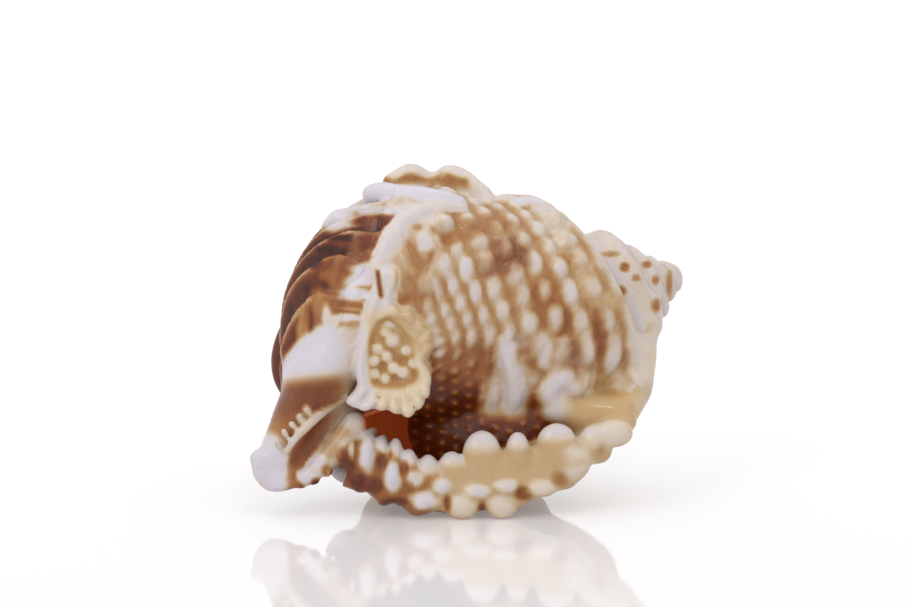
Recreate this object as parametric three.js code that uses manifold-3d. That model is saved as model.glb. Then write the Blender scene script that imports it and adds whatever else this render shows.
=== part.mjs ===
// A sea snail shell of the distorted triton kind, lying on its outer lip with the mouth to the front.
// Millimetres, +Z up. The mouth faces -Y, the spire points to +X, and the floor is Z = 0.
// The shell grew as one piece, so it is one solid: a coiled whorl with beaded cords, a thick toothed
// lip, an ear-shaped plate over the mouth, a smooth cheek that runs out into an open canal, and the
// raised edge of the glaze on the side of the mouth.
import * as THREE from "three";
import { ParametricGeometry } from "three/addons/geometries/ParametricGeometry.js";
import { mergeVertices } from "three/addons/utils/BufferGeometryUtils.js";
import Module from "manifold-3d";

const wasm = await Module();
wasm.setup();

const { sin, cos, PI, min, max, exp, round } = Math;
const TURN = 2 * PI;
const DEGREE = PI / 180;
const point = (x, y, z) => new THREE.Vector3(x, y, z);

// The coil: how much wider each turn is than the one before, and where round the axis the lip stands
const GROWTH_PER_TURN = 1.6;
const LIP_AZIMUTH = -30 * DEGREE;
const FLATTENING = 0.8; // depth of the coil from front to back, as a share of its width

// How the shell lies: its apex, and the lean of its axis up from the floor and back from the front
const APEX = point(29.4, 22.9, 27.4);
const TIP = point(27.2, 22.0, 26.9);
const TIP_RADIUS = 1.7;
const AXIS_RISE = 17 * DEGREE;
const AXIS_AWAY = 22 * DEGREE;

// Outline of the whorl in a half plane through the axis, from the suture to the canal: radius and
// height below the apex at the lip, how fast each shrinks back along the coil, and how much each
// swells on the left side, where the shell is distorted. A high focus keeps the swelling off the front.
const OUTLINE = [
  { r: 12.2, z: 17.8, rShrink: 1.0, zShrink: 1.0, rSwell: 0.0, zSwell: 0.12, focus: 1.0 },
  { r: 16.4, z: 18.0, rShrink: 1.0, zShrink: 1.0, rSwell: 0.06, zSwell: 0.12, focus: 1.0 },
  { r: 18.2, z: 19.9, rShrink: 1.0, zShrink: 1.0, rSwell: 0.08, zSwell: 0.11, focus: 1.0 },
  { r: 19.4, z: 25.5, rShrink: 1.0, zShrink: 1.0, rSwell: 0.12, zSwell: 0.07, focus: 1.0 },
  { r: 20.0, z: 30.4, rShrink: 1.0, zShrink: 1.0, rSwell: 0.18, zSwell: 0.04, focus: 1.0 },
  { r: 19.6, z: 35.0, rShrink: 1.0, zShrink: 1.0, rSwell: 0.32, zSwell: 0.07, focus: 1.2 },
  { r: 18.5, z: 40.0, rShrink: 0.9, zShrink: 0.9, rSwell: 0.5, zSwell: 0.08, focus: 1.4 },
  { r: 16.0, z: 44.0, rShrink: 0.85, zShrink: 0.86, rSwell: 0.7, zSwell: 0.1, focus: 1.6 },
  { r: 12.5, z: 47.5, rShrink: 0.6, zShrink: 0.8, rSwell: 0.84, zSwell: 0.15, focus: 1.9 },
  { r: 8.5, z: 51.0, rShrink: 0.3, zShrink: 0.72, rSwell: 0.9, zSwell: 0.17, focus: 2.2 },
  { r: 5.0, z: 55.0, rShrink: 0.0, zShrink: 0.6, rSwell: 0.7, zSwell: 0.12, focus: 2.4 },
];
// The second turn is the least swollen, so the last one stands above it as a step
const SLIM = { turns: 1.55, halfWidth: 0.42, share: 1.0 };
// The base bulges behind the lip, where the shell lies on it
const BULGE = { turns: 0.22, halfWidth: 0.13, depth: 48, halfDepth: 4.5, share: 0.42 };
const FLAT_SPOT = { turns: 0.1, halfWidth: 0.12, share: 0.03 };
// Growth lines lean: at the shoulder they stand ahead of the base, in turns
const LEAN_SHOULDER = -0.055;
const LEAN_BASE = 0.028;

// Spiral cords, the beads on them, and the thickened rib that an earlier lip left at the top
const CORDS = 16;
const CORD_HEIGHT = 0.85;
const BEADS_PER_TURN = 28;
const BEADED_FROM = 0.6; // turns back from the lip; nearer to it the cords are smooth
const RIB = { turns: 0.56, halfWidth: 0.022, height: 1.3, from: 0.27, to: 0.56 };
// Where the front of the last turn is dished, behind the ear
const DISH = { turns: 0.83, halfWidth: 0.13, share: 0.74, halfShare: 0.16, depth: 2.6 };

// The hollow behind the mouth
const WALL = 1.5;
const HOLLOW_TURNS = 0.5;

// The coil is laid in stretches, in turns back from the lip, finest on the front. The closed end of
// each reaches into the next by so many turns.
const CAP_REACH = 0.05;
const OUTER_STRETCHES = [
  { from: 0.03, to: 0.38, rings: 10, cords: CORDS, beaded: false },
  { from: 0.38, to: 0.6, rings: 12, cords: CORDS, beaded: false },
];
const INNER_STRETCHES = [
  { from: 0.6, to: 1.0, rings: 22, cords: CORDS, beaded: true },
  { from: 1.0, to: 1.5, rings: 12, cords: 8, beaded: true },
  { from: 1.5, to: 2.3, rings: 20, cords: 8, beaded: true },
  { from: 2.3, to: 3.1, rings: 12, cords: 5, beaded: true },
  { from: 3.1, to: 4.0, rings: 8, cords: 4, beaded: false },
];

// Outer lip, as pairs of points on its scalloped outer edge and its inner edge
const LIP = [
  { outer: point(22.0, 6.0, 10.6), inner: point(20.2, 5.8, 12.2) },
  { outer: point(19.6, 3.8, 7.9), inner: point(16.9, 4.6, 10.9) },
  { outer: point(16.4, 2.6, 5.0), inner: point(13.7, 3.4, 9.9) },
  { outer: point(12.4, 1.8, 2.8), inner: point(10.4, 2.6, 9.2) },
  { outer: point(8.0, 1.2, 1.2), inner: point(6.5, 2.0, 8.5) },
  { outer: point(3.6, 0.8, 0.3), inner: point(2.8, 1.6, 7.8) },
  { outer: point(-0.6, 0.8, 0.2), inner: point(-1.1, 1.6, 6.9) },
  { outer: point(-4.3, 1.0, 0.4), inner: point(-4.5, 1.8, 6.6) },
  { outer: point(-7.7, 1.4, 1.3), inner: point(-7.0, 2.2, 7.7) },
  { outer: point(-10.7, 1.8, 2.9), inner: point(-9.2, 2.6, 9.1) },
  { outer: point(-12.7, 2.6, 4.9), inner: point(-11.4, 3.0, 10.5) },
  { outer: point(-14.8, 3.4, 7.0), inner: point(-13.3, 3.2, 11.5) },
];
const LIP_DEPTH = 4.2;
const LIP_KNOBS = 9;
const LIP_KNOB_HEIGHT = 0.9;
const LIP_STEPS = 34;
const LIP_SIDES = 8;

// Teeth on the inner edge of the lip: where they stand, half width along the lip, and height
const LIP_TEETH = [
  { at: point(-9.2, 2.4, 9.2), wide: 1.0, high: 1.5 },
  { at: point(-7.2, 2.2, 8.2), wide: 1.0, high: 1.7 },
  { at: point(-5.8, 2.0, 6.9), wide: 1.0, high: 1.8 },
  { at: point(-3.4, 1.8, 6.2), wide: 1.1, high: 1.9 },
  { at: point(-0.4, 1.6, 6.5), wide: 1.4, high: 2.2 },
  { at: point(3.3, 1.4, 8.0), wide: 2.4, high: 3.2 },
  { at: point(7.8, 1.6, 8.6), wide: 1.6, high: 2.7 },
  { at: point(12.4, 2.2, 9.5), wide: 2.2, high: 2.6 },
];
const TOOTH_DEPTH = 1.4;

// Second row of knobs on the face of the lip
const LIP_FACE_KNOBS = [
  { at: point(-8.0, 1.4, 4.9), wide: 1.2, high: 2.0 },
  { at: point(-5.3, 1.0, 3.6), wide: 1.0, high: 1.6 },
  { at: point(-3.2, 0.9, 2.2), wide: 1.3, high: 1.5 },
  { at: point(-1.4, 0.8, 4.0), wide: 1.1, high: 1.5 },
  { at: point(2.6, 0.8, 3.5), wide: 1.6, high: 1.2 },
  { at: point(6.8, 1.0, 4.0), wide: 1.5, high: 1.2 },
  { at: point(11.4, 1.9, 5.4), wide: 1.6, high: 1.2 },
];

// Lumps of the rib at the top, and the glaze that fills the corner where the lip meets the whorl
const RIB_KNOBS = [
  { at: point(-5.9, 14.4, 39.4), radii: [2.3, 2.6, 1.9] },
  { at: point(0.2, 15.0, 38.8), radii: [2.6, 2.6, 2.1] },
];
const GLAZE_PAD = { at: point(16.8, 8.6, 11.8), radii: [4.6, 3.2, 2.6] };

// Blunt knobs on the back, which the shell lies on; the floor has worn all that touches it flat
const BACK_KNOBS = [
  { at: point(-9.2, 15.2, 2.2), radii: [2.6, 2.6, 2.8] },
  { at: point(0.2, 17.4, 2.1), radii: [2.8, 2.6, 2.7] },
  { at: point(9.4, 16.0, 2.1), radii: [2.6, 2.6, 2.7] },
];
const FLOOR = -0.25;
const WORN_BLOCK = 60; // side of the block cut away below the floor

// Where the part's own origin lies: on the floor, below the middle of its box
const ORIGIN = point(2.08, 14.08, FLOOR);

// Smooth cheek and open canal: centre line with the half width at each point
const CANAL = [
  { at: point(-10.6, 4.6, 26.2), radius: 2.2 },
  { at: point(-12.9, 4.2, 22.4), radius: 3.6 },
  { at: point(-15.9, 5.2, 18.0), radius: 4.6 },
  { at: point(-17.2, 6.0, 13.6), radius: 4.5 },
  { at: point(-19.0, 5.8, 9.8), radius: 4.2 },
  { at: point(-20.8, 5.0, 7.3), radius: 3.6 },
  { at: point(-22.3, 4.4, 5.7), radius: 2.8 },
  { at: point(-23.4, 4.0, 4.9), radius: 1.6 },
];
const CANAL_GROOVE = [
  { at: point(-12.0, 3.6, 12.9), radius: 1.7 },
  { at: point(-14.8, 2.4, 11.3), radius: 1.9 },
  { at: point(-17.2, 1.6, 8.8), radius: 1.7 },
  { at: point(-19.4, 1.2, 6.5), radius: 1.3 },
  { at: point(-21.0, 1.0, 4.4), radius: 0.8 },
];
const CANAL_TEETH = [
  point(-15.7, 2.6, 14.4), point(-16.9, 2.3, 13.4), point(-18.3, 2.0, 12.0),
  point(-19.2, 1.8, 10.4), point(-20.2, 1.7, 9.3), point(-21.2, 1.7, 8.1),
];
const CANAL_TOOTH_RADIUS = 0.6;
const CANAL_WALL = [
  { at: point(-12.4, 3.8, 11.2), radius: 1.9 },
  { at: point(-14.3, 3.4, 8.8), radius: 1.8 },
  { at: point(-16.4, 3.0, 6.4), radius: 1.6 },
  { at: point(-18.5, 2.8, 4.7), radius: 1.1 },
];

// Ear-shaped plate over the mouth, seen from the front: its lobed outline as [x, z] about its middle
const EAR_MIDDLE = point(-7.6, -0.6, 18.6);
const EAR_OUTLINE = [
  [-9.1, 31.0], [-7.3, 31.0], [-7.1, 29.4], [-7.7, 27.0], [-6.0, 25.9], [-4.6, 24.6], [-3.2, 23.7],
  [-2.8, 22.6], [-3.7, 20.5], [-3.0, 19.6], [-2.8, 17.2], [-3.2, 15.5], [-4.2, 13.6], [-6.1, 12.4],
  [-8.5, 13.4], [-11.6, 13.4], [-13.2, 13.9], [-12.1, 16.6], [-11.8, 21.5], [-10.8, 26.4], [-9.2, 29.4],
];
const EAR_THICKNESS = 2.2;
const EAR_RIM = 0.9; // how far the rim stands forward of the pit
const EAR_BEADS = [
  [-7.6, 21.9], [-9.3, 21.0], [-7.9, 19.8], [-7.2, 18.2], [-5.8, 18.3], [-9.6, 23.6], [-6.2, 20.6],
];

// Raised edge of the glaze, up the left side and down the right side of the mouth
const GLAZE_EDGE = [
  point(-8.6, 2.2, 31.0), point(-8.4, 2.4, 33.4), point(-7.8, 3.0, 35.0), point(-6.6, 4.4, 36.6),
  point(-4.4, 6.4, 37.9), point(-2.0, 9.2, 38.8), point(0.6, 11.6, 38.9),
];
const FLANGE = [
  point(23.9, 14.4, 19.8), point(24.0, 12.4, 17.4), point(23.2, 10.0, 15.2), point(22.0, 8.0, 13.6),
  point(20.6, 6.4, 12.2),
];

const clamp01 = (v) => min(1, max(0, v));
const smoothStep = (a, b, v) => {
  const t = clamp01((v - a) / (b - a));
  return t * t * (3 - 2 * t);
};
const bump = (v, middle, halfWidth) => exp(-(((v - middle) / halfWidth) ** 2));

// Directions of the lying shell: towards the lip, towards the back, and up the spire
const TO_LIP = point(sin(AXIS_RISE), 0, -cos(AXIS_RISE));
const TO_SPIRE = point(cos(AXIS_RISE) * cos(AXIS_AWAY), sin(AXIS_AWAY), sin(AXIS_RISE) * cos(AXIS_AWAY));
const TO_BACK = TO_SPIRE.clone().cross(TO_LIP);

// The solid pillar that the whorls wind round
const onAxis = (depth) => APEX.clone().addScaledVector(TO_SPIRE, -depth);
const PILLAR = [
  { at: onAxis(3), radius: 0.7 }, { at: onAxis(14), radius: 1.2 },
  { at: onAxis(30), radius: 1.6 }, { at: onAxis(50), radius: 1.6 },
];

// Turns ahead or behind that the growth line leans by, at a share u of the outline
const lean = (u) => LEAN_SHOULDER + (LEAN_BASE - LEAN_SHOULDER) * clamp01((u - 0.2) / 0.6);

// Smooth outline in one half plane, so many turns back from the lip
function outlineAt(turns) {
  const slim = SLIM.share * bump(turns, SLIM.turns, SLIM.halfWidth);
  const left = sin(PI * (turns - 0.05)) ** 2 * (1 - slim);
  const points = OUTLINE.map((p) => {
    const swelling = left ** p.focus;
    const bulge = BULGE.share * bump(turns, BULGE.turns, BULGE.halfWidth) * bump(p.z, BULGE.depth, BULGE.halfDepth)
      - FLAT_SPOT.share * bump(turns, FLAT_SPOT.turns, FLAT_SPOT.halfWidth);
    const r = p.r * GROWTH_PER_TURN ** (-p.rShrink * turns) * (1 + p.rSwell * swelling + bulge);
    const z = -p.z * GROWTH_PER_TURN ** (-p.zShrink * turns) * (1 + p.zSwell * swelling);
    return point(r, 0, z);
  });
  return new THREE.CatmullRomCurve3(points, false, "catmullrom", 0.5);
}

function placed(r, z, turns) {
  const azimuth = LIP_AZIMUTH + TURN * turns;
  return APEX.clone()
    .addScaledVector(TO_LIP, r * cos(azimuth))
    .addScaledVector(TO_BACK, FLATTENING * r * sin(azimuth))
    .addScaledVector(TO_SPIRE, z);
}

// Turns a closed geometry into a solid, whichever way round its faces were laid
function solidOf(geometry) {
  geometry.deleteAttribute("normal");
  geometry.deleteAttribute("uv");
  const merged = mergeVertices(geometry, 1e-4);
  const triangles = [];
  for (let i = 0; i < merged.index.count; i += 3) {
    const [a, b, c] = [0, 1, 2].map((k) => merged.index.getX(i + k));
    if (a !== b && b !== c && c !== a) triangles.push([a, b, c]);
  }
  const build = (faces) => new wasm.Manifold(new wasm.Mesh({
    numProp: 3,
    vertProperties: merged.attributes.position.array,
    triVerts: new Uint32Array(faces.flat()),
  }));
  const solid = build(triangles);
  return solid.volume() > 0 ? solid : build(triangles.map(([a, b, c]) => [a, c, b]));
}

// A closed surface of rings: ringPoint(side, ring) gives the corners, and the end rings are points
function ringSolid(sides, rings, ringPoint) {
  const surface = (u, v, target) => target.copy(ringPoint(round(u * sides) % sides, round(v * rings)));
  return solidOf(new ParametricGeometry(surface, sides, rings));
}

// A rod with round ends and its own radius at each point of its centre line
function rodSolid(stations, sides, rings) {
  const path = new THREE.CatmullRomCurve3(stations.map((s) => s.at), false, "catmullrom", 0.5);
  const radii = new THREE.CatmullRomCurve3(
    stations.map((s, i) => point(i, s.radius, 0)), false, "catmullrom", 0.5);
  return ringSolid(sides, rings, (side, ring) => {
    const t = clamp01((ring - 1) / (rings - 2));
    const middle = path.getPoint(t);
    const along = path.getTangent(t);
    const radius = radii.getPoint(t).y;
    if (ring === 0) return middle.addScaledVector(along, -0.5 * radius);
    if (ring === rings) return middle.addScaledVector(along, 0.5 * radius);
    const forward = point(0, -1, 0).addScaledVector(along, along.y).normalize();
    const across = along.clone().cross(forward);
    const angle = (TURN * side) / sides;
    return middle
      .addScaledVector(forward, radius * cos(angle))
      .addScaledVector(across, radius * sin(angle));
  });
}

function ballSolid(at, radii, sides = 5) {
  const ball = new THREE.SphereGeometry(1, sides, sides - 1);
  ball.scale(radii[0], radii[1], radii[2]);
  ball.translate(at.x, at.y, at.z);
  return solidOf(ball);
}

// One closed stretch of the whorl, from one growth line to another
function whorlStretch(from, to, steps, ringsPerBead, cords) {
  const outlineSteps = 2 * cords;
  const sides = outlineSteps + 3;
  const rings = steps + 2;
  return ringSolid(sides, rings, (side, ring) => {
    const turns = from + (to - from) * clamp01((ring - 1) / steps);
    if (ring === 0 || ring === rings) {
      const middle = outlineAt(turns).getPoint(0.45);
      return placed(middle.x * 0.35, middle.z, turns + (ring === 0 ? -CAP_REACH : CAP_REACH));
    }
    const u = side <= outlineSteps ? side / outlineSteps : side === outlineSteps + 1 ? 1 : 0;
    const sigma = turns + lean(u);
    const curve = outlineAt(sigma);
    const p = curve.getPoint(u);
    if (side > outlineSteps) return placed(0.3 * GROWTH_PER_TURN ** -turns, p.z, sigma);
    const tangent = curve.getTangent(u);
    const scale = GROWTH_PER_TURN ** -turns;
    const onCord = side % 2 === 1 ? 1 : 0;
    const beaded = smoothStep(BEADED_FROM - 0.05, BEADED_FROM + 0.05, turns);
    const onBead = ringsPerBead === 2 && ring % 2 === 0 ? 1 : 0.35;
    const swell = onCord * (1 - beaded + beaded * onBead) * CORD_HEIGHT * scale;
    const rib = RIB.height * bump(turns, RIB.turns, RIB.halfWidth)
      * smoothStep(RIB.from - 0.06, RIB.from, u) * (1 - smoothStep(RIB.to, RIB.to + 0.06, u));
    const dish = DISH.depth * bump(turns, DISH.turns, DISH.halfWidth) * bump(u, DISH.share, DISH.halfShare);
    const out = swell + rib * (0.6 + 0.4 * onCord) - dish;
    return placed(p.x - tangent.z * out, p.z + tangent.x * out, sigma);
  });
}

// The coil from one place to another, as stretches that meet on shared growth lines
function coil(stretches) {
  return stretches
    .map(({ from, to, rings, cords, beaded }) => whorlStretch(from, to, rings, beaded ? 2 : 1, cords))
    .reduce((whole, stretch) => whole.add(stretch));
}

// The hollow: the same sweep set in by the wall, narrowing as it goes back
function hollow() {
  const sides = 20;
  const rings = 14;
  return ringSolid(sides, rings, (side, ring) => {
    const t = clamp01((ring - 1) / (rings - 2));
    const turns = -0.04 + (HOLLOW_TURNS + 0.04) * t;
    const inset = WALL + 2.0 * t;
    const outerSides = 14;
    const u = side <= outerSides
      ? 0.06 + (0.88 * side) / outerSides
      : 0.94 - (0.88 * (side - outerSides)) / (sides - outerSides);
    const sigma = turns + lean(u);
    const curve = outlineAt(sigma);
    const p = curve.getPoint(u);
    const tangent = curve.getTangent(u);
    if (ring === 0 || ring === rings) {
      const middle = outlineAt(turns).getPoint(0.5);
      return placed(middle.x * 0.6, middle.z, turns);
    }
    if (side <= outerSides) return placed(p.x + tangent.z * inset, p.z - tangent.x * inset, sigma);
    return placed(max(3.2, p.x * 0.3), p.z * 0.96 - 1.5, sigma);
  });
}

// The lip: a band of rounded section with knobs along its outer edge
function lipBand() {
  const outer = new THREE.CatmullRomCurve3(LIP.map((s) => s.outer), false, "catmullrom", 0.5);
  const inner = new THREE.CatmullRomCurve3(LIP.map((s) => s.inner), false, "catmullrom", 0.5);
  return ringSolid(LIP_SIDES, LIP_STEPS + 2, (side, ring) => {
    const t = clamp01((ring - 1) / LIP_STEPS);
    const edge = outer.getPoint(t);
    const across = inner.getPoint(t).sub(edge);
    const width = across.length();
    across.normalize();
    const along = outer.getTangent(t);
    const forward = along.clone().cross(across).normalize();
    if (forward.y > 0) forward.negate();
    const middle = edge.clone().addScaledVector(across, 0.5 * width).addScaledVector(forward, -0.5 * LIP_DEPTH);
    if (ring === 0) return middle.addScaledVector(along, -0.8);
    if (ring === LIP_STEPS + 2) return middle.addScaledVector(along, 0.8);
    const angle = (TURN * side) / LIP_SIDES;
    const knob = LIP_KNOB_HEIGHT * max(0, -cos(angle)) * (cos(TURN * LIP_KNOBS * t) > 0 ? 1 : 0);
    const reach = 0.5 * width + knob - 0.3;
    return middle
      .addScaledVector(across, reach * cos(angle))
      .addScaledVector(forward, 0.5 * LIP_DEPTH * sin(angle));
  });
}

// The ear: a dish with a raised rim, closed behind
function earPlate() {
  const count = EAR_OUTLINE.length;
  const shares = [0.35, 0.72, 0.93, 1.0, 0.9, 0.5];
  const fronts = [EAR_RIM, 0.2, 0.0, 0.45, EAR_THICKNESS, EAR_THICKNESS];
  return ringSolid(count, shares.length + 1, (side, ring) => {
    const [x, z] = EAR_OUTLINE[side];
    if (ring === 0) return EAR_MIDDLE.clone().add(point(0, EAR_RIM, 0));
    if (ring === shares.length + 1) return EAR_MIDDLE.clone().add(point(0, EAR_THICKNESS, 0));
    const share = shares[ring - 1];
    return point(
      EAR_MIDDLE.x + (x - EAR_MIDDLE.x) * share,
      EAR_MIDDLE.y + fronts[ring - 1],
      EAR_MIDDLE.z + (z - EAR_MIDDLE.z) * share);
  });
}

let shell = coil(OUTER_STRETCHES).subtract(hollow()).add(coil(INNER_STRETCHES));
shell = shell.add(rodSolid(PILLAR, 6, 6));
shell = shell.add(ballSolid(TIP, [TIP_RADIUS, TIP_RADIUS, TIP_RADIUS]));
shell = shell.add(lipBand());
for (const tooth of LIP_TEETH) {
  shell = shell.add(ballSolid(tooth.at, [tooth.wide, TOOTH_DEPTH, tooth.high], 7));
}
for (const knob of LIP_FACE_KNOBS) {
  shell = shell.add(ballSolid(knob.at, [knob.wide, TOOTH_DEPTH, knob.high]));
}
for (const { at, radii } of [...RIB_KNOBS, ...BACK_KNOBS, GLAZE_PAD]) {
  shell = shell.add(ballSolid(at, radii, 7));
}
shell = shell.add(rodSolid(CANAL, 10, 10));
shell = shell.subtract(rodSolid(CANAL_GROOVE, 8, 8));
shell = shell.add(rodSolid(CANAL_WALL, 8, 6));
for (const at of CANAL_TEETH) {
  shell = shell.add(ballSolid(at, [CANAL_TOOTH_RADIUS, CANAL_TOOTH_RADIUS, CANAL_TOOTH_RADIUS]));
}
shell = shell.add(earPlate());
for (const [x, z] of EAR_BEADS) {
  shell = shell.add(ballSolid(point(x, EAR_MIDDLE.y + 0.6, z), [0.7, 0.6, 0.7]));
}
shell = shell.add(rodSolid(GLAZE_EDGE.map((at) => ({ at, radius: 0.9 })), 5, 11));
shell = shell.add(rodSolid(FLANGE.map((at) => ({ at, radius: 1.2 })), 5, 9));

const block = new THREE.BoxGeometry(WORN_BLOCK, WORN_BLOCK, WORN_BLOCK);
block.translate(ORIGIN.x, ORIGIN.y, FLOOR - 0.5 * WORN_BLOCK);
shell = shell.subtract(solidOf(block));

const pieces = shell.decompose().sort((a, b) => b.volume() - a.volume());
const mesh = pieces[0].getMesh();
const geometry = new THREE.BufferGeometry();
geometry.setAttribute("position", new THREE.BufferAttribute(mesh.vertProperties, 3));
geometry.setIndex(new THREE.BufferAttribute(mesh.triVerts, 1));
geometry.translate(-ORIGIN.x, -ORIGIN.y, -ORIGIN.z);
const part = new THREE.Group();
const body = new THREE.Mesh(geometry, new THREE.MeshStandardMaterial({ color: 0xd8c4a4, roughness: 0.4 }));
body.name = "shell";
part.add(body);
export default part;
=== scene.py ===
import math

import bpy
import numpy as np
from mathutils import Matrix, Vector


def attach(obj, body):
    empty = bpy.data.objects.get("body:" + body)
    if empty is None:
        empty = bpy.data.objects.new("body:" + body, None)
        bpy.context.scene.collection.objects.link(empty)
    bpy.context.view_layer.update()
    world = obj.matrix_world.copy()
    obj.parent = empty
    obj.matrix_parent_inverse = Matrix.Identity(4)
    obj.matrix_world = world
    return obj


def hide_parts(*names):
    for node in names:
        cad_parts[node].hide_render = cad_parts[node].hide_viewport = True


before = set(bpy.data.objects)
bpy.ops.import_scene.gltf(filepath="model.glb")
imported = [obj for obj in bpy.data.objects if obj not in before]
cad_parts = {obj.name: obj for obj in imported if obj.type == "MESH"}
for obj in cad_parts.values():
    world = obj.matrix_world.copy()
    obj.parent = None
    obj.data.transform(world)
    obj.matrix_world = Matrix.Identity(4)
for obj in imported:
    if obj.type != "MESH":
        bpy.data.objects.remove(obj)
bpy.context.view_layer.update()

# The camera. It looks at the mouth from a little above, as a close-up lens does from 0.4 m away. Places on
# the shell are in millimetres in the camera's own frame, level with it, and ORIGIN is the place in that
# frame that the part is measured from.
ORIGIN = np.array([2.08, 14.08, -0.25])
MILLIMETRE = 0.001
LOOK_AT = np.array([0.0, 12.0, 25.0])
LOOK_DOWN = math.radians(8.0)
DISTANCE = 420.0
IMAGE_WIDTH = 910
PIXELS_PER_RADIAN = 3360
back_off = np.array([0.0, -math.cos(LOOK_DOWN), math.sin(LOOK_DOWN)])
camera = bpy.data.objects.new("camera", bpy.data.cameras.new("camera"))
camera.data.sensor_width = 36.0
camera.data.lens = camera.data.sensor_width * PIXELS_PER_RADIAN / IMAGE_WIDTH
camera.data.clip_start = 0.01
camera.location = Vector((LOOK_AT + DISTANCE * back_off - ORIGIN) * MILLIMETRE)
camera.rotation_euler = (math.pi / 2 - LOOK_DOWN, 0.0, 0.0)
bpy.context.scene.collection.objects.link(camera)
bpy.context.scene.camera = camera


# The whorls. The animal lays lime at the lip in a coil that widens by the same share each turn, so
# every whorl is the same outline swept round the axis, wider towards the mouth. The shell is worked out
# as the distance of any place from it, and a turn counts back from the lip towards the apex.
GROWTH_PER_TURN = 1.6
LIP_AZIMUTH = math.radians(-30)
FLATTENING = 0.8
APEX = np.array([29.4, 22.9, 27.4])
AXIS_RISE, AXIS_AWAY = math.radians(17), math.radians(22)
TO_LIP = np.array([math.sin(AXIS_RISE), 0.0, -math.cos(AXIS_RISE)])
TO_SPIRE = np.array([math.cos(AXIS_RISE) * math.cos(AXIS_AWAY), math.sin(AXIS_AWAY),
                     math.sin(AXIS_RISE) * math.cos(AXIS_AWAY)])
TO_BACK = np.cross(TO_SPIRE, TO_LIP)
LEAN_SHOULDER, LEAN_BASE = -0.055, 0.028
# radius, depth below the apex, how fast each shrinks per turn, how each swells on the left, focus
OUTLINE = np.array([
    (12.2, 17.8, 1, 1, 0, 0.12, 1),
    (16.4, 18, 1, 1, 0.06, 0.12, 1),
    (18.2, 19.9, 1, 1, 0.08, 0.11, 1),
    (19.4, 25.5, 1, 1, 0.12, 0.07, 1),
    (20, 30.4, 1, 1, 0.18, 0.04, 1),
    (19.6, 35, 1, 1, 0.32, 0.07, 1.2),
    (18.5, 40, 0.9, 0.9, 0.5, 0.08, 1.4),
    (16, 44, 0.85, 0.86, 0.7, 0.1, 1.6),
    (12.5, 47.5, 0.6, 0.8, 0.84, 0.15, 1.9),
    (8.5, 51, 0.3, 0.72, 0.9, 0.17, 2.2),
    (5, 55, 0, 0.6, 0.7, 0.12, 2.4),
])
TURNS_FIRST, TURNS_LAST, ROWS_PER_TURN = -0.2, 5.2, 120
OUTLINE_STEPS = 110
# where the left side swells and where it doesn't, and a belly and a dent behind the lip: places and half
# widths, in turns and in depth
SWELL_TURN, FLAT_TURNS = 0.05, (1.55, 0.42)
BELLY, BELLY_TURNS, BELLY_DEPTHS = 0.42, (0.22, 0.13), (48.0, 4.5)
DENT, DENT_TURNS = 0.03, (0.1, 0.12)
FAR = 9.0  # millimetres; nothing further than this from the skin is worked out


def bump(v, middle, half_width):
    return np.exp(-((v - middle) / half_width) ** 2)


def smooth_curve(points, count):
    """A Catmull-Rom curve through the points; the first axis of points runs along it."""
    points = np.asarray(points, float)
    ends = np.concatenate([[2 * points[0] - points[1]], points, [2 * points[-1] - points[-2]]])
    t = np.linspace(0.0, len(points) - 1.0, count)
    i = np.minimum(t.astype(int), len(points) - 2)
    f = (t - i).reshape((-1,) + (1,) * (points.ndim - 1))
    a, b, c, d = ends[i], ends[i + 1], ends[i + 2], ends[i + 3]
    return 0.5 * (2 * b + (c - a) * f + (2 * a - 5 * b + 4 * c - d) * f**2
                  + (3 * b - a - 3 * c + d) * f**3)


def outline_rows():
    """Outlines of the whorl as (row, step, radius or height), one row for each share of a turn."""
    turns = np.linspace(TURNS_FIRST, TURNS_LAST, int((TURNS_LAST - TURNS_FIRST) * ROWS_PER_TURN) + 1)
    radius, depth, r_shrink, z_shrink, r_swell, z_swell, focus = OUTLINE.T[:, :, None]
    left = np.sin(math.pi * (turns - SWELL_TURN)) ** 2 * (1 - bump(turns, *FLAT_TURNS))
    swelling = np.maximum(left, 1e-9) ** focus
    bulge = BELLY * bump(turns, *BELLY_TURNS) * bump(depth, *BELLY_DEPTHS) - DENT * bump(turns, *DENT_TURNS)
    r = radius * GROWTH_PER_TURN ** (-r_shrink * turns) * (1 + r_swell * swelling + bulge)
    z = -depth * GROWTH_PER_TURN ** (-z_shrink * turns) * (1 + z_swell * swelling)
    rows = smooth_curve(np.stack([r, z], axis=-1), OUTLINE_STEPS)
    return np.moveaxis(rows, 0, 1).astype(np.float32)


ROWS = outline_rows()


def lie(p):
    """Radius, azimuth in turns and height along the axis."""
    q = p - APEX
    x, y = q @ TO_LIP, q @ TO_BACK / FLATTENING
    turn = ((np.arctan2(y, x) - LIP_AZIMUTH) / (2 * math.pi)) % 1.0
    return np.hypot(x, y), turn, q @ TO_SPIRE


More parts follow.
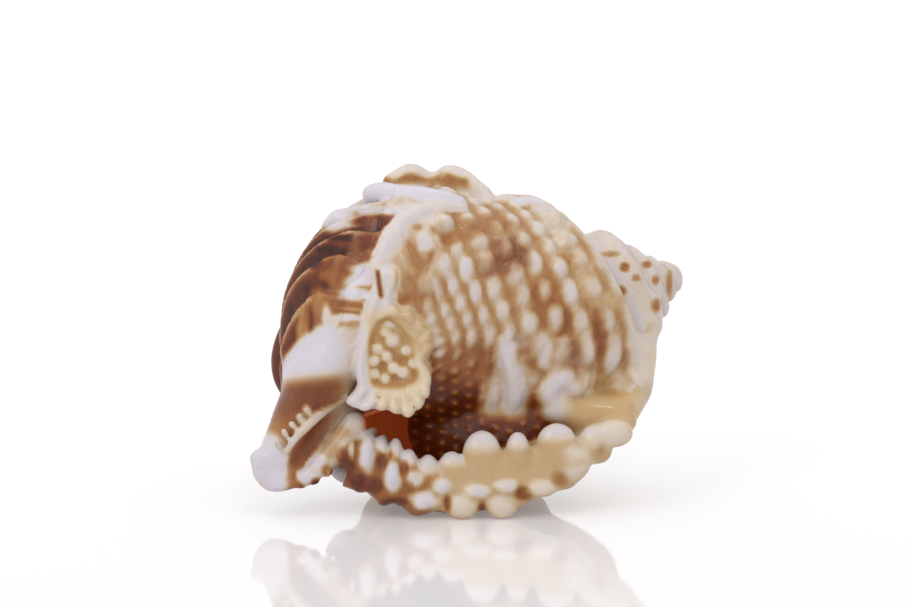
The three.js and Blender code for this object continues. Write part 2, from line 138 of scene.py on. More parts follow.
def to_outline(radius, height, turns):
    """Signed distance from one turn's outline, and the share along the outline of the nearest place."""
    row = (turns - TURNS_FIRST) * ROWS_PER_TURN
    i = np.clip(row.astype(int), 0, len(ROWS) - 2)
    w = (row - i)[:, None, None].astype(np.float32)
    line = ROWS[i] * (1 - w) + ROWS[i + 1] * w
    on_axis = line[:, [0, -1]] * np.array([0, 1], np.float32)
    line = np.concatenate([on_axis[:, :1], line, on_axis[:, 1:]], axis=1)
    here = np.stack([radius, height], axis=1)[:, None].astype(np.float32)
    j = ((line - here) ** 2).sum(2).argmin(1)
    n = np.arange(len(j))
    best, share, side = np.full(len(j), 1e9), np.zeros(len(j)), np.ones(len(j))
    for k in (j - 1, j):
        k = np.clip(k, 0, line.shape[1] - 2)
        a, b = line[n, k].astype(float), line[n, k + 1].astype(float)
        step = b - a
        t = np.clip(((here[:, 0] - a) * step).sum(1) / np.maximum((step**2).sum(1), 1e-12), 0, 1)
        gap = here[:, 0] - a - step * t[:, None]
        d = np.hypot(gap[:, 0], gap[:, 1])
        closer = d < best
        best = np.where(closer, d, best)
        share = np.where(closer, (k - 1 + t) / (OUTLINE_STEPS - 1), share)
        cross = step[:, 0] * gap[:, 1] - step[:, 1] * gap[:, 0]
        side = np.where(closer, np.where(cross >= 0, 1.0, -1.0), side)
    return best * side, np.clip(share, 0.0, 1.0)


# The sculpture on the whorls: broad smooth ribs on the left, knobby spiral cords on the back, and on the
# front cords set with beads, where the animal laid a glaze with a raised edge over them. Beside the mouth
# the glaze fills the furrows, and only small beads stand out.
RIB_ACROSS = np.array([0.408, 0.906, 0.109])
RIB_FIRST, RIB_STEP, RIB_HEIGHT = 2.6, 2.2, 1.45
LEFT_ENDS, BACK_HEIGHT, BACK_KNOBS_PER_TURN = 15.0, 1.3, 17
BEADED_FROM, EDGE_HEIGHT = 0.6, 1.0
BEAD_HEIGHT, BEAD_WIDE, BEAD_LONG = 0.95, 0.43, 0.44  # the last two are shares of the spacing
SPIRE_BEADS, FINE_BEAD = 0.6, 0.62  # how many and how large, against the rest
WALL_BEADS_ACROSS, WALL_BEADS_UP, WALL_BEAD_HEIGHT = 1.7, 1.5, 0.25
CORDS_AT, CORDS_FAN, LOW_CORDS_FAN = 0.78, 1.6, 0.35  # the turn that CORDS is for, and how cords spread
STRETCH_FROM, STRETCH_REACH = (0.79, 0.755), (0.17, 0.035)  # how beads draw apart, high and low
DISH_TURNS, DISH_SHARES, DISH_DEPTH = (0.83, 0.13), (0.74, 0.16), 2.6
# where each beaded cord runs across the whorl, its beads per turn, and the place of one of them
CORDS = np.array([
    (-0.04, 26, 0.8), (0.03, 26, 0.8), (0.1, 26, 0.79), (0.175, 28, 0.81), (0.255, 29, 0.828),
    (0.35, 33, 0.815), (0.45, 31, 0.792), (0.525, 35, 0.782), (0.6, 38, 0.779), (0.68, 42, 0.763),
    (0.755, 53, 0.77), (0.815, 58, 0.758), (0.867, 66, 0.75), (0.92, 70, 0.75), (0.97, 74, 0.75),
    (1.03, 74, 0.75),
])


def ease(a, b, v):
    t = np.clip((v - a) / (b - a), 0.0, 1.0)
    return t * t * (3.0 - 2.0 * t)


def mix(a, b, share):
    return a * (1 - share) + b * share


def fuse(a, b, soft):
    """Joins two forms given as distances, with a fillet of the size soft."""
    h = np.clip(0.5 + 0.5 * (b - a) / soft, 0.0, 1.0)
    return b * (1.0 - h) + a * h - soft * h * (1.0 - h)


def fine_beads(p, share):
    """Where the beads are small and far apart: low on the whorl, beside the mouth."""
    return ease(0.68, 0.76, share) * ease(6.5, 4.5, p[:, 0]) * ease(17.0, 15.0, p[:, 2])


def worn(p, share):
    """Where glaze has filled the furrows: beside the mouth and under the white streaks."""
    return ease(0.6, 0.68, share) * ease(10.5, 8.5, p[:, 0]) * ease(18.5, 15.5, p[:, 2])


def wall_beads(p):
    """Small beads beside and in the mouth, in columns that stand a little higher one after the other."""
    across = p[:, 0] / WALL_BEADS_ACROSS
    up = p[:, 2] / WALL_BEADS_UP + 0.35 * np.round(across)
    return (np.cos(math.pi * across) * np.cos(math.pi * up)) ** 4


def sculpture(p, share, turns):
    """Height of the relief, masks of cord crests and of beads, and the number of the cord."""
    scale = GROWTH_PER_TURN ** -turns
    rib = np.cos(math.pi * ((p @ RIB_ACROSS - RIB_FIRST) / RIB_STEP)) ** 2
    drift = np.clip(CORDS_FAN * (share - 0.15), 0.0, 1.1) * np.clip(turns - CORDS_AT, -0.15, 0.25)
    drift += LOW_CORDS_FAN * bump(share, 0.75, 0.06) * np.clip(turns - CORDS_AT, -0.03, 0.1)
    wander = 0.004 * np.sin(41 * turns + 9 * share) + 0.003 * np.sin(97 * turns - 20 * share)
    phase = np.interp(share - drift + wander, CORDS[:, 0], np.arange(len(CORDS)))
    cord = np.round(phase).astype(int)
    across = phase - cord
    low = ease(0.62, 0.75, share)
    past, reach = np.maximum(turns - mix(*STRETCH_FROM, low), 0.0), mix(*STRETCH_REACH, low)
    stretch = past - reach * np.log1p(past / reach)
    count = np.where(turns > 1.0, np.round(SPIRE_BEADS * CORDS[cord, 1]), CORDS[cord, 1])
    along = count * (turns - stretch - CORDS[cord, 2])
    number = np.round(along)
    along = along - number
    chance = np.sin(12.9898 * cord + 4.1414 * number) * 437.585
    chance = chance - np.floor(chance)
    size = (0.82 + 0.34 * chance) * mix(1.0, FINE_BEAD, fine_beads(p, share))
    round_off = 1.0 - (across / (BEAD_WIDE * size)) ** 2 - (along / (BEAD_LONG * size)) ** 2
    bead = np.clip(round_off, 0.0, 1.0) ** 0.6
    bead = bead * (0.7 + 0.3 * chance) * np.maximum(ease(0.15, 0.22, share), ease(1.0, 1.05, turns))

    line = np.cos(math.pi * across) ** 2
    edge = BEADED_FROM + 0.15 * np.maximum(share - 0.65, 0.0) + 0.004 * np.sin(70 * share)
    beaded = ease(edge - 0.012, edge + 0.006, turns)
    fresh = beaded * (1 - ease(edge + 0.02, edge + 0.09, turns))
    filled = worn(p, share)
    beaded_cord = BEAD_HEIGHT * (0.28 * line + (0.72 - 0.3 * fresh) * bead) * (1 - filled)
    beaded_cord += WALL_BEAD_HEIGHT * wall_beads(p) * filled
    dish = DISH_DEPTH * bump(turns, *DISH_TURNS) * bump(share, *DISH_SHARES)
    step = EDGE_HEIGHT * fresh * ease(0.45, 0.52, share) * ease(1.02, 1.0, turns)

    left = ease(LEFT_ENDS + 3.0, LEFT_ENDS, p[:, 1])
    axial = np.cos(math.pi * BACK_KNOBS_PER_TURN * turns) ** 2
    back_cord = BACK_HEIGHT * (0.55 * line - 0.35 + 0.45 * line * axial + 0.15 * axial)
    plain = left * RIB_HEIGHT * (rib**0.8 - 0.35) + (1 - left) * back_cord
    height = scale * mix(plain, beaded_cord, beaded) + step - dish
    crest = mix(mix(line * (0.5 + 0.5 * axial), rib, left), line, beaded)
    number = np.where((beaded > 0.5) | (left < 0.5), phase, (p @ RIB_ACROSS) / RIB_STEP)
    return height, crest, bead * beaded, number


def lean(share):
    return LEAN_SHOULDER + (LEAN_BASE - LEAN_SHOULDER) * np.clip((share - 0.2) / 0.6, 0.0, 1.0)


def one_whorl(p, radius, turns, height):
    """Distance from one whorl, crest, bead, cord, growth, share, and a row for the hollow."""
    d, share = to_outline(radius, height, turns)
    growth = turns - lean(share)
    relief, crest, bead, cord = sculpture(p, share, growth)
    squeeze = (1 - FLATTENING**2) * np.sin(2 * math.pi * turns + LIP_AZIMUTH) ** 2
    d = (d - relief) * np.sqrt(1 - squeeze)
    return np.stack([d, crest, bead, cord, growth, share, np.zeros(len(d))])


def add_whorl(found, near, new):
    old = found[:, near]
    joined = fuse(old[0], new[0], 0.5)
    found[:, near] = np.where(new[0] < old[0], new, old)
    found[0, near] = joined


# The hollow behind the mouth. The animal lived in it. It runs back inside the last whorl, a wall's
# thickness in, and is cut off half a turn back, where nothing of it can be seen.
WALL = 1.5
HOLLOW_TURNS = 0.5
PILLAR_RADIUS = 3.2
LIP_TURN, PAST_LIP = 0.03, 0.88  # where the last whorl ends, and from where a place lies before it
WIDEST, DEEPEST = 36, 72  # how far the last whorl reaches from the axis and from the apex


def carve(a, hole, soft):
    return -fuse(-a, hole, soft)


def whorls(p):
    """All whorls with the hollow: distance, crest, bead, cord, growth, share, how much in the hollow."""
    radius, turn, height = lie(p)
    found = np.full((7, len(p)), FAR)
    turns = np.where(turn > PAST_LIP, turn - 1.0, turn)
    near = (radius < WIDEST) & (height > -DEEPEST) & (turns < HOLLOW_TURNS + 0.12)
    if near.any():
        last = one_whorl(p[near], radius[near], turns[near], height[near])
        arc = 2 * math.pi * np.maximum(radius[near], 3.0) * 0.9
        last[0] = np.maximum(last[0], (LIP_TURN - last[4]) * arc)
        depth = np.clip(turns[near] / HOLLOW_TURNS, 0.0, 1.0)
        plain, _ = to_outline(radius[near], height[near], turns[near])
        hole = np.maximum(plain + WALL + 2.0 * depth, PILLAR_RADIUS - radius[near])
        hole = np.maximum(hole, (turns[near] - HOLLOW_TURNS) * arc)
        last[6] = ease(0.9, 0.2, hole)
        last[0] = carve(last[0], hole, 0.6)
        add_whorl(found, near, last)
    for whorl in range(5):
        reach = GROWTH_PER_TURN ** -float(whorl)
        near = (radius < (WIDEST - 2) * reach + 2) & (height > -DEEPEST * reach**0.6 - 3)
        near &= found[0] > -2.0
        if whorl == 0:
            near &= turn > HOLLOW_TURNS + 0.1
        if near.any():
            add_whorl(found, near, one_whorl(p[near], radius[near], turn[near] + whorl, height[near]))
    return found


# The pigment on the whorls. It lies brown in the furrows with white glaze over it, so a tone is two
# measures: how pale, from chestnut through tan to white, and how warm, from greyish to yellow. On the
# ribs at the left the furrows are also darkened as painted shade, and the crests carry a painted highlight.
# Stains are (across, up, half width, half height, pale, warm), in millimetres from the middle of the
# picture, on the side that the picture shows. A last number says how far one covers the beads.
TAN, LOW_TAN, CREAM, CORD_CREAM, BEAD_WHITE = (0.47, 0.8), (0.4, 0.8), (0.84, 0.3), (0.76, 0.3), (0.86, 0.0)
LEFT_BROWN, CORNER_YELLOW, BACK_DARK, BACK_PALE = (0.34, 0.8), (0.64, 1.2), (0.28, 0.5), (0.78, 0.5)
DARK_HIGH, DARK_LOW, AMBER_HIGH, AMBER_LOW = (0.24, 0.9), (0.05, 1.0), (0.72, 0.4), (0.38, 1.2)
# Among the front stains, the two at (-4.8, 1.8) and (-4.2, 6.4), left of the pearls, are painted shade over
# the olive ground.
FRONT_STAINS = [
    (5.5, -7.6, 9.5, 2.6, 0.35, 0.8, 0.3), (-4.8, 1.8, 1.8, 2.4, 0.42, 0.9, 0.5),
    (12.8, 10.2, 2.2, 2, 0.76, 0.3, 0.8), (4.2, 13.8, 2.8, 1.2, 0.88, 0.2, 1),
    (1.4, 9.1, 1.8, 1.4, 0.44, 0.9, 0.7), (-0.7, 8.1, 1.1, 1, 0.42, 1.1, 0.8),
    (6.9, 5.9, 2.4, 2.4, 0.28, 0.35, 0.5), (4.1, 4.4, 1.1, 1.2, 0.4, 0.4, 0.3),
    (-5.8, 6.6, 0.9, 0.6, 0.3, 1.2, 1), (-1, 11.6, 1, 0.4, 0.5, 0.6, 1),
    (4.6, 10, 3, 1.5, 0.42, 0.8, 0.5), (9.4, 12.9, 2.5, 0.6, 0.95, 0, 1),
    (11.2, 11.9, 1.8, 0.8, 0.85, 0.2, 1), (11.2, 0.4, 1.8, 3.5, 0.34, 0.9, 0.1),
    (13.4, -2.7, 1.2, 2, 0.3, 0.9, 0.1), (14.1, -5.8, 1.8, 1.1, 0.34, 0.4, 0.2),
    (18.1, -3.6, 0.9, 3.2, 0.24, 0.9, 0.4), (16.2, -7.1, 1.1, 1, 0.42, 0.3, 0.3),
    (8.1, -4.6, 1.5, 1.2, 0.55, 0.1, 0.2), (13.1, -7.3, 2.5, 0.9, 0.48, 0.4, 0.2),
    (-6.6, 0.2, 1.1, 1.8, 0.36, 0.7, 0.8), (-5.1, -2.3, 1, 1.8, 0.48, 0.5, 0.3),
    (9.8, -13.6, 1, 2.8, 0.2, 1, 1), (11.4, -15.6, 1.1, 1, 0.38, 1, 1),
    (6.6, -6.8, 1.2, 2.4, 0.82, 0.1, 0.6), (6.2, -11.8, 2.4, 3, 0.6, 0.8, 1),
    (8.4, -9.6, 1, 2.8, 0.66, 0.3, 0.3), (13.1, -11.1, 2.1, 2.8, 0.93, 0, 1),
    (11.2, -5.8, 1, 2.2, 0.82, 0, 0.6), (18.9, -13.6, 3.2, 1.9, 0.62, 1.3, 1),
    (16.1, -15.4, 2, 1, 0.55, 1.3, 1), (18.1, -10.2, 1.8, 1.5, 0.6, 0.9, 0.5),
    (20.6, -12.1, 1.2, 1, 0.5, 1.2, 1), (23.1, -5.8, 1.5, 7.5, 0.8, 0.3, 0.8),
    (19.6, 0.4, 2.5, 1.2, 0.62, 0.7, 0.3), (-4.2, 6.4, 2.6, 3.4, 0.44, 0.8, 0.6),
    (-7.5, 9.8, 1.8, 3.8, 0.84, 0.2, 1), (-4.4, 11.4, 2.8, 1.5, 0.84, 0.2, 1),
    (-3.8, 7.9, 1, 1.5, 0.9, 0.1, 1), (13.1, 8.6, 0.8, 1.8, 0.8, 0.4, 0.4),
    (16.2, 3.6, 1.5, 2.2, 0.66, 0.8, 0),
]
# Among the left stains, the dark band at (-9.6, 10.3) and the near-black thin lines at (-10.4, 9.3),
# (-13.8, 8.2), (-15.9, 6.8) and (-17.6, 5.2) are painted shade in the furrows over their brown pigment. The
# thin line at (-7.1, 12.3) is the painted shadow under the white rib. The narrow stripe at (-9.4, 3.3) is
# painted shade standing in for the slit beside the ear.
LEFT_STAINS = [
    (-7.1, 14.4, 4.5, 1.6, 1, 0), (-10.4, 13.8, 1.8, 1.5, 1, 0), (-3.8, 16.4, 5, 1.5, 0.88, 0.4),
    (-14.6, 10.6, 2.8, 1.6, 1, 0), (-9.6, 11.8, 4.2, 0.9, 0.97, 0), (-9.6, 10.3, 3.2, 0.8, 0.12, 0.7),
    (-11.9, 7.6, 3.2, 0.9, 0.2, 0.8), (-13.8, 4.7, 3.2, 1.1, 0.24, 0.9), (0.1, 14.6, 1.6, 0.6, 0.46, 1.3),
    (-7.1, 12.3, 3.2, 0.2, 0.5, 0.8), (-10.4, 9.3, 2.8, 0.3, 0.02, 0.3), (-13.8, 8.2, 2, 0.4, 0.02, 0.3),
    (-15.9, 6.8, 1.5, 0.5, 0.02, 0.3), (-17.6, 5.2, 1, 0.8, 0.02, 0.3), (-8.1, 9.2, 1, 0.5, 0.92, 0.1),
    (-9.2, 6.2, 1.1, 0.6, 0.95, 0), (-11.1, 4.1, 1.8, 1, 0.97, 0), (-12.1, 2.8, 2, 0.8, 0.97, 0),
    (-12.6, 1.2, 2, 0.8, 0.97, 0), (-11, 2.2, 1.1, 0.1, 0.55, 0.5), (-11.9, 0.2, 1.8, 0.2, 0.4, 0.9),
    (-12.9, -0.6, 1.6, 0.2, 0.55, 1.1), (-13.6, -1.8, 2.2, 0.5, 0.92, 0.2), (-15.2, 3.3, 1.6, 1, 0.32, 1),
    (-17, 0.4, 1, 1.8, 0.38, 1), (-16.1, -1.4, 0.6, 1.1, 0.85, 0.2), (-9.4, 3.3, 0.3, 1.1, 0.12, 0.8),
    (-19, -3.3, 0.8, 2.8, 0.46, 1),
]
SPIRE_PITS = [
    (21.2, 4.6, 0.6, 0.6, 0.36, 0.9), (24, 4.8, 0.6, 0.5, 0.38, 0.9), (20.8, 1.6, 0.6, 0.6, 0.38, 0.9),
    (25.1, 2.9, 0.5, 0.6, 0.42, 0.9), (25.2, -0.2, 0.6, 0.9, 0.42, 0.9), (22.6, 3.2, 0.5, 0.4, 0.5, 0.8),
    (19.4, 6.2, 1.1, 0.4, 0.5, 0.8), (26.8, 2.3, 0.4, 1.8, 0.5, 0.9), (24.6, -3.4, 0.8, 0.9, 0.44, 0.9),
]
# where the glaze ends on the left, as (up, across)
GLAZE_EDGE = [(-4, -11.4), (-2, -11.4), (0.9, -10.4), (3.9, -9.6), (5.2, -10), (7.6, -8.6), (10.2, -7.1),
              (11.7, -6.6)]


def seen(p):
    """Places across and up in the picture, in millimetres at the depth that the camera looks at."""
    gap = p - LOOK_AT
    scale = DISTANCE / (DISTANCE - gap @ back_off)
    return gap[:, 0] * scale, gap @ np.array([0.0, math.sin(LOOK_DOWN), math.cos(LOOK_DOWN)]) * scale


def blend(tone, other, share):
    """Goes over from one tone to another. Each tone is a pair, or a pair of rows with all places."""
    return mix(np.reshape(tone, (2, -1)), np.reshape(other, (2, -1)), share)


def stain(colour, u, v, stains, limit=1.0, beads=0.0):
    """Lays stains with ragged edges over a colour."""
    ragged = 0.06 * (np.sin(1.3 * u + 2.1 * v) + np.sin(2.7 * u - 1.9 * v) + np.sin(0.9 * u - 3.3 * v))
    for x, y, wide, high, pale, warm, *cover in stains:
        spread = ease(1.5, 0.5, np.hypot((u - x) / wide, (v - y) / high) + ragged) * limit
        if cover:
            spread = spread * mix(1.0, cover[0], beads)
        colour = blend(colour, (pale, warm), spread)
    return colour


def whorl_colour(p, u, v):
    """Colour of the whorls, strength of the mottling, how much inside, cord number and growth."""
    _, crest, bead, cord, growth, share, inside = whorls(p)
    x, y = p[:, 0], p[:, 1]
    facing = ease(19.5, 17.0, y)
    beaded = ease(0.585, 0.605, growth)
    spire = ease(1.0, 1.08, growth)
    # On the ribs the tone is nearly black in the furrows and paler up to the crests, with a thin pale line
    # on the crest tops. This is partly the brown pigment, partly painted shade in the furrows and a painted
    # highlight.
    furrows = 0.03 + 0.3 * crest**3 + 0.25 * bump(crest, 1.0, 0.05)
    back = np.stack([furrows, np.full(len(p), 0.75)])
    back = blend(back, blend(BACK_DARK, BACK_PALE, crest), 1 - facing)
    back = stain(back, u, v, LEFT_STAINS, facing)

    bead = np.clip(1.15 * bead ** (1.4 + 2.0 * fine_beads(p, share)), 0, 1)
    smooth = ease(0.22, 0.14, share) * (1 - spire)
    front = blend(blend(TAN, LOW_TAN, ease(-3.5, -6.5, v)), CREAM, np.maximum(spire, smooth))
    front = blend(front, CORD_CREAM, 0.8 * crest * (1 - bead))
    front = blend(front, BEAD_WHITE, bead)
    shade = ease(-4.4, -8.0, v + 1.3 * bead) * ease(0.8, -0.8, u - 4.2 - 0.16 * (v + 5.2)) * facing
    down = ease(-7.0, -12.0, v)
    amber = blend(AMBER_HIGH, AMBER_LOW, down)
    dark = blend(DARK_HIGH, DARK_LOW, ease(-6.0, -12.0, v))
    front = blend(front, blend(dark, amber, wall_beads(p) ** mix(0.4, 1.0, down)), shade)
    front = stain(front, u, v, SPIRE_PITS, ease(27.0, 24.0, y) * spire)
    front = stain(front, u, v, FRONT_STAINS, facing * (1 - spire), bead)

    left = ease(0.3, -0.4, u - np.interp(v, *np.array(GLAZE_EDGE).T))
    left = left * facing * beaded * ease(-3.5, -2.0, v) * ease(12.5, 11.5, v)
    corner = ease(12.5, 14.5, u) * ease(-10.5, -12.0, v) * facing
    corner = np.maximum(corner, ease(0.06, 0.03, growth) * ease(14.0, 16.0, x) * facing)
    colour = blend(back, front, beaded)
    colour = blend(colour, stain(LEFT_BROWN, u, v, LEFT_STAINS), left)
    colour = blend(colour, CORNER_YELLOW, corner)
    mottle = mix(0.3, 0.14, np.maximum(beaded, facing)) * np.abs(2 * beaded - 1)
    return colour, mottle * (1 - 0.7 * shade) * (1 - corner), inside, cord, growth


# Ridges, lumps and glaze on the whorls. Two thick ribs and rows of lumps follow an earlier lip over the
# top, a low rib edges the shield, and pearls and streaks of white glaze lie on the front. All are lime
# that the animal laid over the whorls, so each goes over into them with a fillet.
REACH = 3.0  # how near a form has to be to be joined on
# places along each, with the radius there
TOP_RIB = [
    (-7.8, 14.5, 40.1, 1), (-6.6, 14.5, 40.6, 1.3), (-5.3, 14.6, 40.9, 1.4), (-3.5, 14.8, 40.2, 1.1),
    (-2.3, 15, 40.1, 1.1), (-0.8, 15, 40.6, 1.5), (0.9, 15, 40.2, 1.4), (2.3, 14.5, 39.4, 1.1),
    (3.6, 14, 38.7, 0.8),
]
WHITE_RIB = [
    (-10.3, 9.8, 39, 1.2), (-8.9, 9.2, 39.2, 1.35), (-7, 8, 39.1, 1.25), (-5, 7.4, 39, 1.2),
    (-3.1, 7, 38.9, 1.1), (-1.2, 7.2, 38.7, 1), (0.4, 7.7, 38.2, 0.7),
]
LEFT_SHOULDER = [
    (-15.6, 10.2, 35, 0.9), (-14.6, 10.2, 35.6, 1.3), (-13.4, 10, 36.1, 1.2), (-12.3, 9.6, 36.5, 0.9),
]
RIGHT_SHOULDER = [
    (4.7, 13.5, 37.2, 0.8), (6.2, 13.5, 37.6, 1), (7.9, 13.5, 37.5, 1), (9.4, 13, 37.4, 1.1),
    (11.2, 12.5, 36.7, 1), (12.7, 12, 35.6, 0.8),
]
SHIELD_EDGE = [
    (0.9, 6.6, 37.5, 0.4), (-1, 5.8, 37.6, 0.7), (-3.3, 5, 37.4, 0.9), (-4.8, 4.2, 37.1, 1),
    (-5.9, 3.8, 36.6, 1.05), (-6.8, 3.3, 35.6, 1.05), (-7.7, 2.5, 34.5, 1.05), (-8.3, 1.9, 33.4, 1),
    (-8.9, 1.3, 32.2, 0.95), (-9.4, 1, 31, 0.85),
]
TOP_RIB_FOOT = [
    (-7.8, 14.7, 39.5, 1.2), (-6.4, 14.7, 39.5, 1.5), (-4.6, 14.8, 39.3, 1.6), (-2.5, 15, 39.1, 1.6),
    (-0.4, 15, 39.1, 1.6), (1.6, 14.8, 38.7, 1.5), (3.6, 14.4, 38, 1.1),
]
RIDGES = [TOP_RIB, WHITE_RIB, LEFT_SHOULDER, RIGHT_SHOULDER, SHIELD_EDGE, TOP_RIB_FOOT]
LUMPS = [((-3.9, 2.8, 33.6), (1.3, 1.2, 1.5)), ((-6.3, 1.4, 31.1), (1.1, 1, 1.3)),
         ((-3.3, 1, 29), (1.2, 1.1, 1.3)), ((-1.5, 3.4, 36), (1.2, 1.1, 1.2)),
         ((-1.4, 1.4, 31), (1.3, 1, 1.5)), ((11.3, 5.2, 15.3), (1.3, 1, 1.6)),
         ((12.9, 5, 17), (1.6, 1, 1.3)), ((15.1, 5.8, 15.9), (1.3, 1, 1.6)),
         ((12.5, 6, 12.9), (1.8, 1.1, 1.7)), ((16.8, 8.6, 11.8), (4.6, 3.4, 2.8)),
         ((20.8, 11, 14.6), (2.8, 2.6, 2.8))]
PEARLS = 9  # how many of the lumps are white
RIDGE_FILLET, LUMP_FILLET, STREAK_FILLET = 0.9, 1.0, 0.7
STREAKS = [
    [(6.2, 2.3, 22.1, 0.6), (6.6, 3.3, 19.2, 0.9), (7.4, 4.9, 16.2, 1.2), (7.3, 5.9, 14.3, 1.2),
     (6.7, 7.1, 12.1, 0.9)],
    [(5.5, 4, 18.9, 0.4), (5.2, 5.3, 16.4, 0.6), (4.7, 6.4, 13.7, 0.8), (4.1, 7.6, 11.5, 0.6)],
]
RIB_CREAM, RIB_BROWN, GLAZE_WHITE = (0.88, 0.35), (0.42, 1.3), (1.0, 0.0)
EDGE_CREAM, PEARL_WHITE, STREAK_TONES = (0.9, 0.2), (0.88, 0.1), ((0.94, 0.1), (0.8, 0.1))


def ball(p, at, radii):
    """About the distance from an ellipsoid."""
    q = (p - np.array(at)) / np.array(radii)
    k = np.sqrt((q**2).sum(1))
    return (k - 1.0) * min(radii)


def near_curve(p, line):
    """Distance from a line of points, and the share along it of the nearest place."""
    best = np.full(len(p), 1e9)
    share = np.zeros(len(p))
    for k in range(len(line) - 1):
        step = line[k + 1] - line[k]
        t = np.clip(((p - line[k]) @ step) / max(step @ step, 1e-12), 0.0, 1.0)
        d = np.sqrt(((p - line[k] - t[:, None] * step) ** 2).sum(1))
        closer = d < best
        best = np.where(closer, d, best)
        share = np.where(closer, (k + t) / (len(line) - 1), share)
    return best, share


def rod(p, stations, steps=24):
    """Distance from a rod of changing thickness."""
    line = smooth_curve(stations, steps)
    d, t = near_curve(p, line[:, :3])
    return d - np.interp(t, np.linspace(0, 1, steps), line[:, 3])


def apply_near(d, p, low, high, form, combine, soft):
    """Joins a form to the distances d, or cuts it out of them, in and round the box low to high."""
    near = ((p > np.array(low) - REACH) & (p < np.array(high) + REACH)).all(1)
    if near.any():
        d[near] = combine(d[near], form(p[near]), soft)


def add_ball(d, p, at, radii, soft, combine=fuse):
    at, radii = np.array(at), np.array(radii)
    apply_near(d, p, at - radii, at + radii, lambda q: ball(q, at, radii), combine, soft)


def add_rod(d, p, stations, soft, combine=fuse):
    s = np.array(stations)
    apply_near(d, p, (s[:, :3] - s[:, 3:]).min(0), (s[:, :3] + s[:, 3:]).max(0),
               lambda q: rod(q, stations), combine, soft)


def add_ridges(d, p):
    for stations in RIDGES:
        add_rod(d, p, stations, RIDGE_FILLET)
    for at, radii in LUMPS:
        add_ball(d, p, at, radii, LUMP_FILLET)
    for stations in STREAKS:
        add_rod(d, p, stations, STREAK_FILLET)


def paint_ridges(colour, p, u, v):
    for stations, tone in zip(STREAKS, STREAK_TONES):
        colour = blend(colour, tone, ease(0.6, -0.2, rod(p, stations)))
    for at, radii in LUMPS[:PEARLS]:
        colour = blend(colour, PEARL_WHITE, 0.75 * ease(0.5, -0.3, ball(p, at, radii)))
    under = ease(16.4, 15.6, v + 0.3 * np.sin(1.4 * u)) * ease(2.4, 1.0, u)
    colour = blend(colour, blend(RIB_CREAM, RIB_BROWN, under), ease(0.6, 0.1, rod(p, TOP_RIB)))
    colour = blend(colour, GLAZE_WHITE, ease(0.6, 0.1, rod(p, WHITE_RIB)))
    return blend(colour, EDGE_CREAM, ease(0.4, 0.15, rod(p, SHIELD_EDGE)))


# The tip, the back and the wall in the mouth. The first turns make the round tip. At the back the last
# earlier lip stands up as a rib with three blunt knobs, worn where the shell lies on them. Low in the
# mouth the whorl goes on down behind the lip's teeth, dark and set with small beads.
TIP = ((27.2, 22.0, 26.9), (1.9, 1.9, 1.9))
BACK_KNOBS = [((-9.2, 15.2, 2.2), (2.6, 2.6, 2.8)), ((0.2, 17.4, 2.1), (2.8, 2.6, 2.7)),
              ((9.4, 16, 2.1), (2.6, 2.6, 2.7))]
VARIX = [(-15, 13, 6, 0.9), (-11.5, 14.6, 4.4, 1.5), (-9.2, 15.6, 3.6, 1.9), (-4.5, 17, 3.4, 1.7),
         (0.2, 17.8, 3.4, 2), (5, 17.6, 3.5, 1.7), (9.4, 16.6, 3.6, 1.9), (13, 15.4, 5.6, 1.5),
         (16.5, 14.6, 8.5, 0.9)]
MOUTH_WALL = np.array([(6.2, 13.7, 9.0), (12.2, 8.0, 8.0)])  # middle and radii
BACK_FILLET = 1.2
BACK_TAN, WALL_BROWN, WALL_AMBER = (0.62, 0.5), (0.1, 1.2), (0.4, 1.2)


def mouth_wall(p):
    return ball(p, *MOUTH_WALL) - WALL_BEAD_HEIGHT * wall_beads(p)


def add_back(d, p):
    for at, radii in BACK_KNOBS + [TIP]:
        add_ball(d, p, at, radii, BACK_FILLET)
    middle, radii = MOUTH_WALL
    apply_near(d, p, middle - radii, middle + radii, mouth_wall, fuse, BACK_FILLET)
    add_rod(d, p, VARIX, BACK_FILLET)


def paint_back(colour, p):
    support = ease(0.8, 0.1, rod(p, VARIX))
    for at, radii in BACK_KNOBS:
        support = np.maximum(support, ease(0.8, 0.1, ball(p, at, radii)))
    return blend(colour, BACK_TAN, support)


def paint_wall(colour, p, lip):
    """Lays the wall's colours, clear of the lip, and gives the wall's mask."""
    x, z = p[:, 0], p[:, 2]
    wall = ease(0.6, 0.2, mouth_wall(p)) * (1 - lip) * ease(12.5, 10.5, z) * ease(14.0, 11.0, x)
    return blend(colour, blend(WALL_BROWN, WALL_AMBER, wall_beads(p)), wall), wall


# The outer lip. It is a thick rounded band that the animal built last, with white teeth along its inner
# edge and knobs on its face and outer edge, and pits between them. A broad flange joins it to the spire.
LIP_OUTER = [(22, 6, 10.6), (19.6, 3.8, 7.9), (16.4, 2.6, 5), (12.4, 1.8, 2.8), (8, 1.2, 1.2),
             (3.6, 0.8, 0.3), (-0.6, 0.8, 0.2), (-4.3, 1, 0.4), (-7.7, 1.4, 1.3), (-10.9, 1.8, 2.4),
             (-12.9, 2.6, 4.3), (-14.8, 3.4, 7)]
LIP_INNER = [(20.2, 5.8, 12.2), (16.9, 4.6, 10.9), (13.7, 3.4, 9.9), (10.4, 2.6, 9.2), (6.5, 2, 8.5),
             (2.8, 1.6, 7.8), (-1.1, 1.6, 6.9), (-4.5, 1.8, 6.6), (-7, 2.2, 7.7), (-9.2, 2.6, 9.1),
             (-11.4, 3, 10.5), (-13.3, 3.2, 11.5)]
LIP_BOX = (-15.5, -1.0, -1.5), (23.0, 8.0, 13.5)
LIP_DEPTH, LIP_ROUNDING = 4.2, 1.7
LIP_EDGE_KNOBS, LIP_EDGE_HEIGHT = 8, 0.5
TOOTH_DEPTH = 1.5
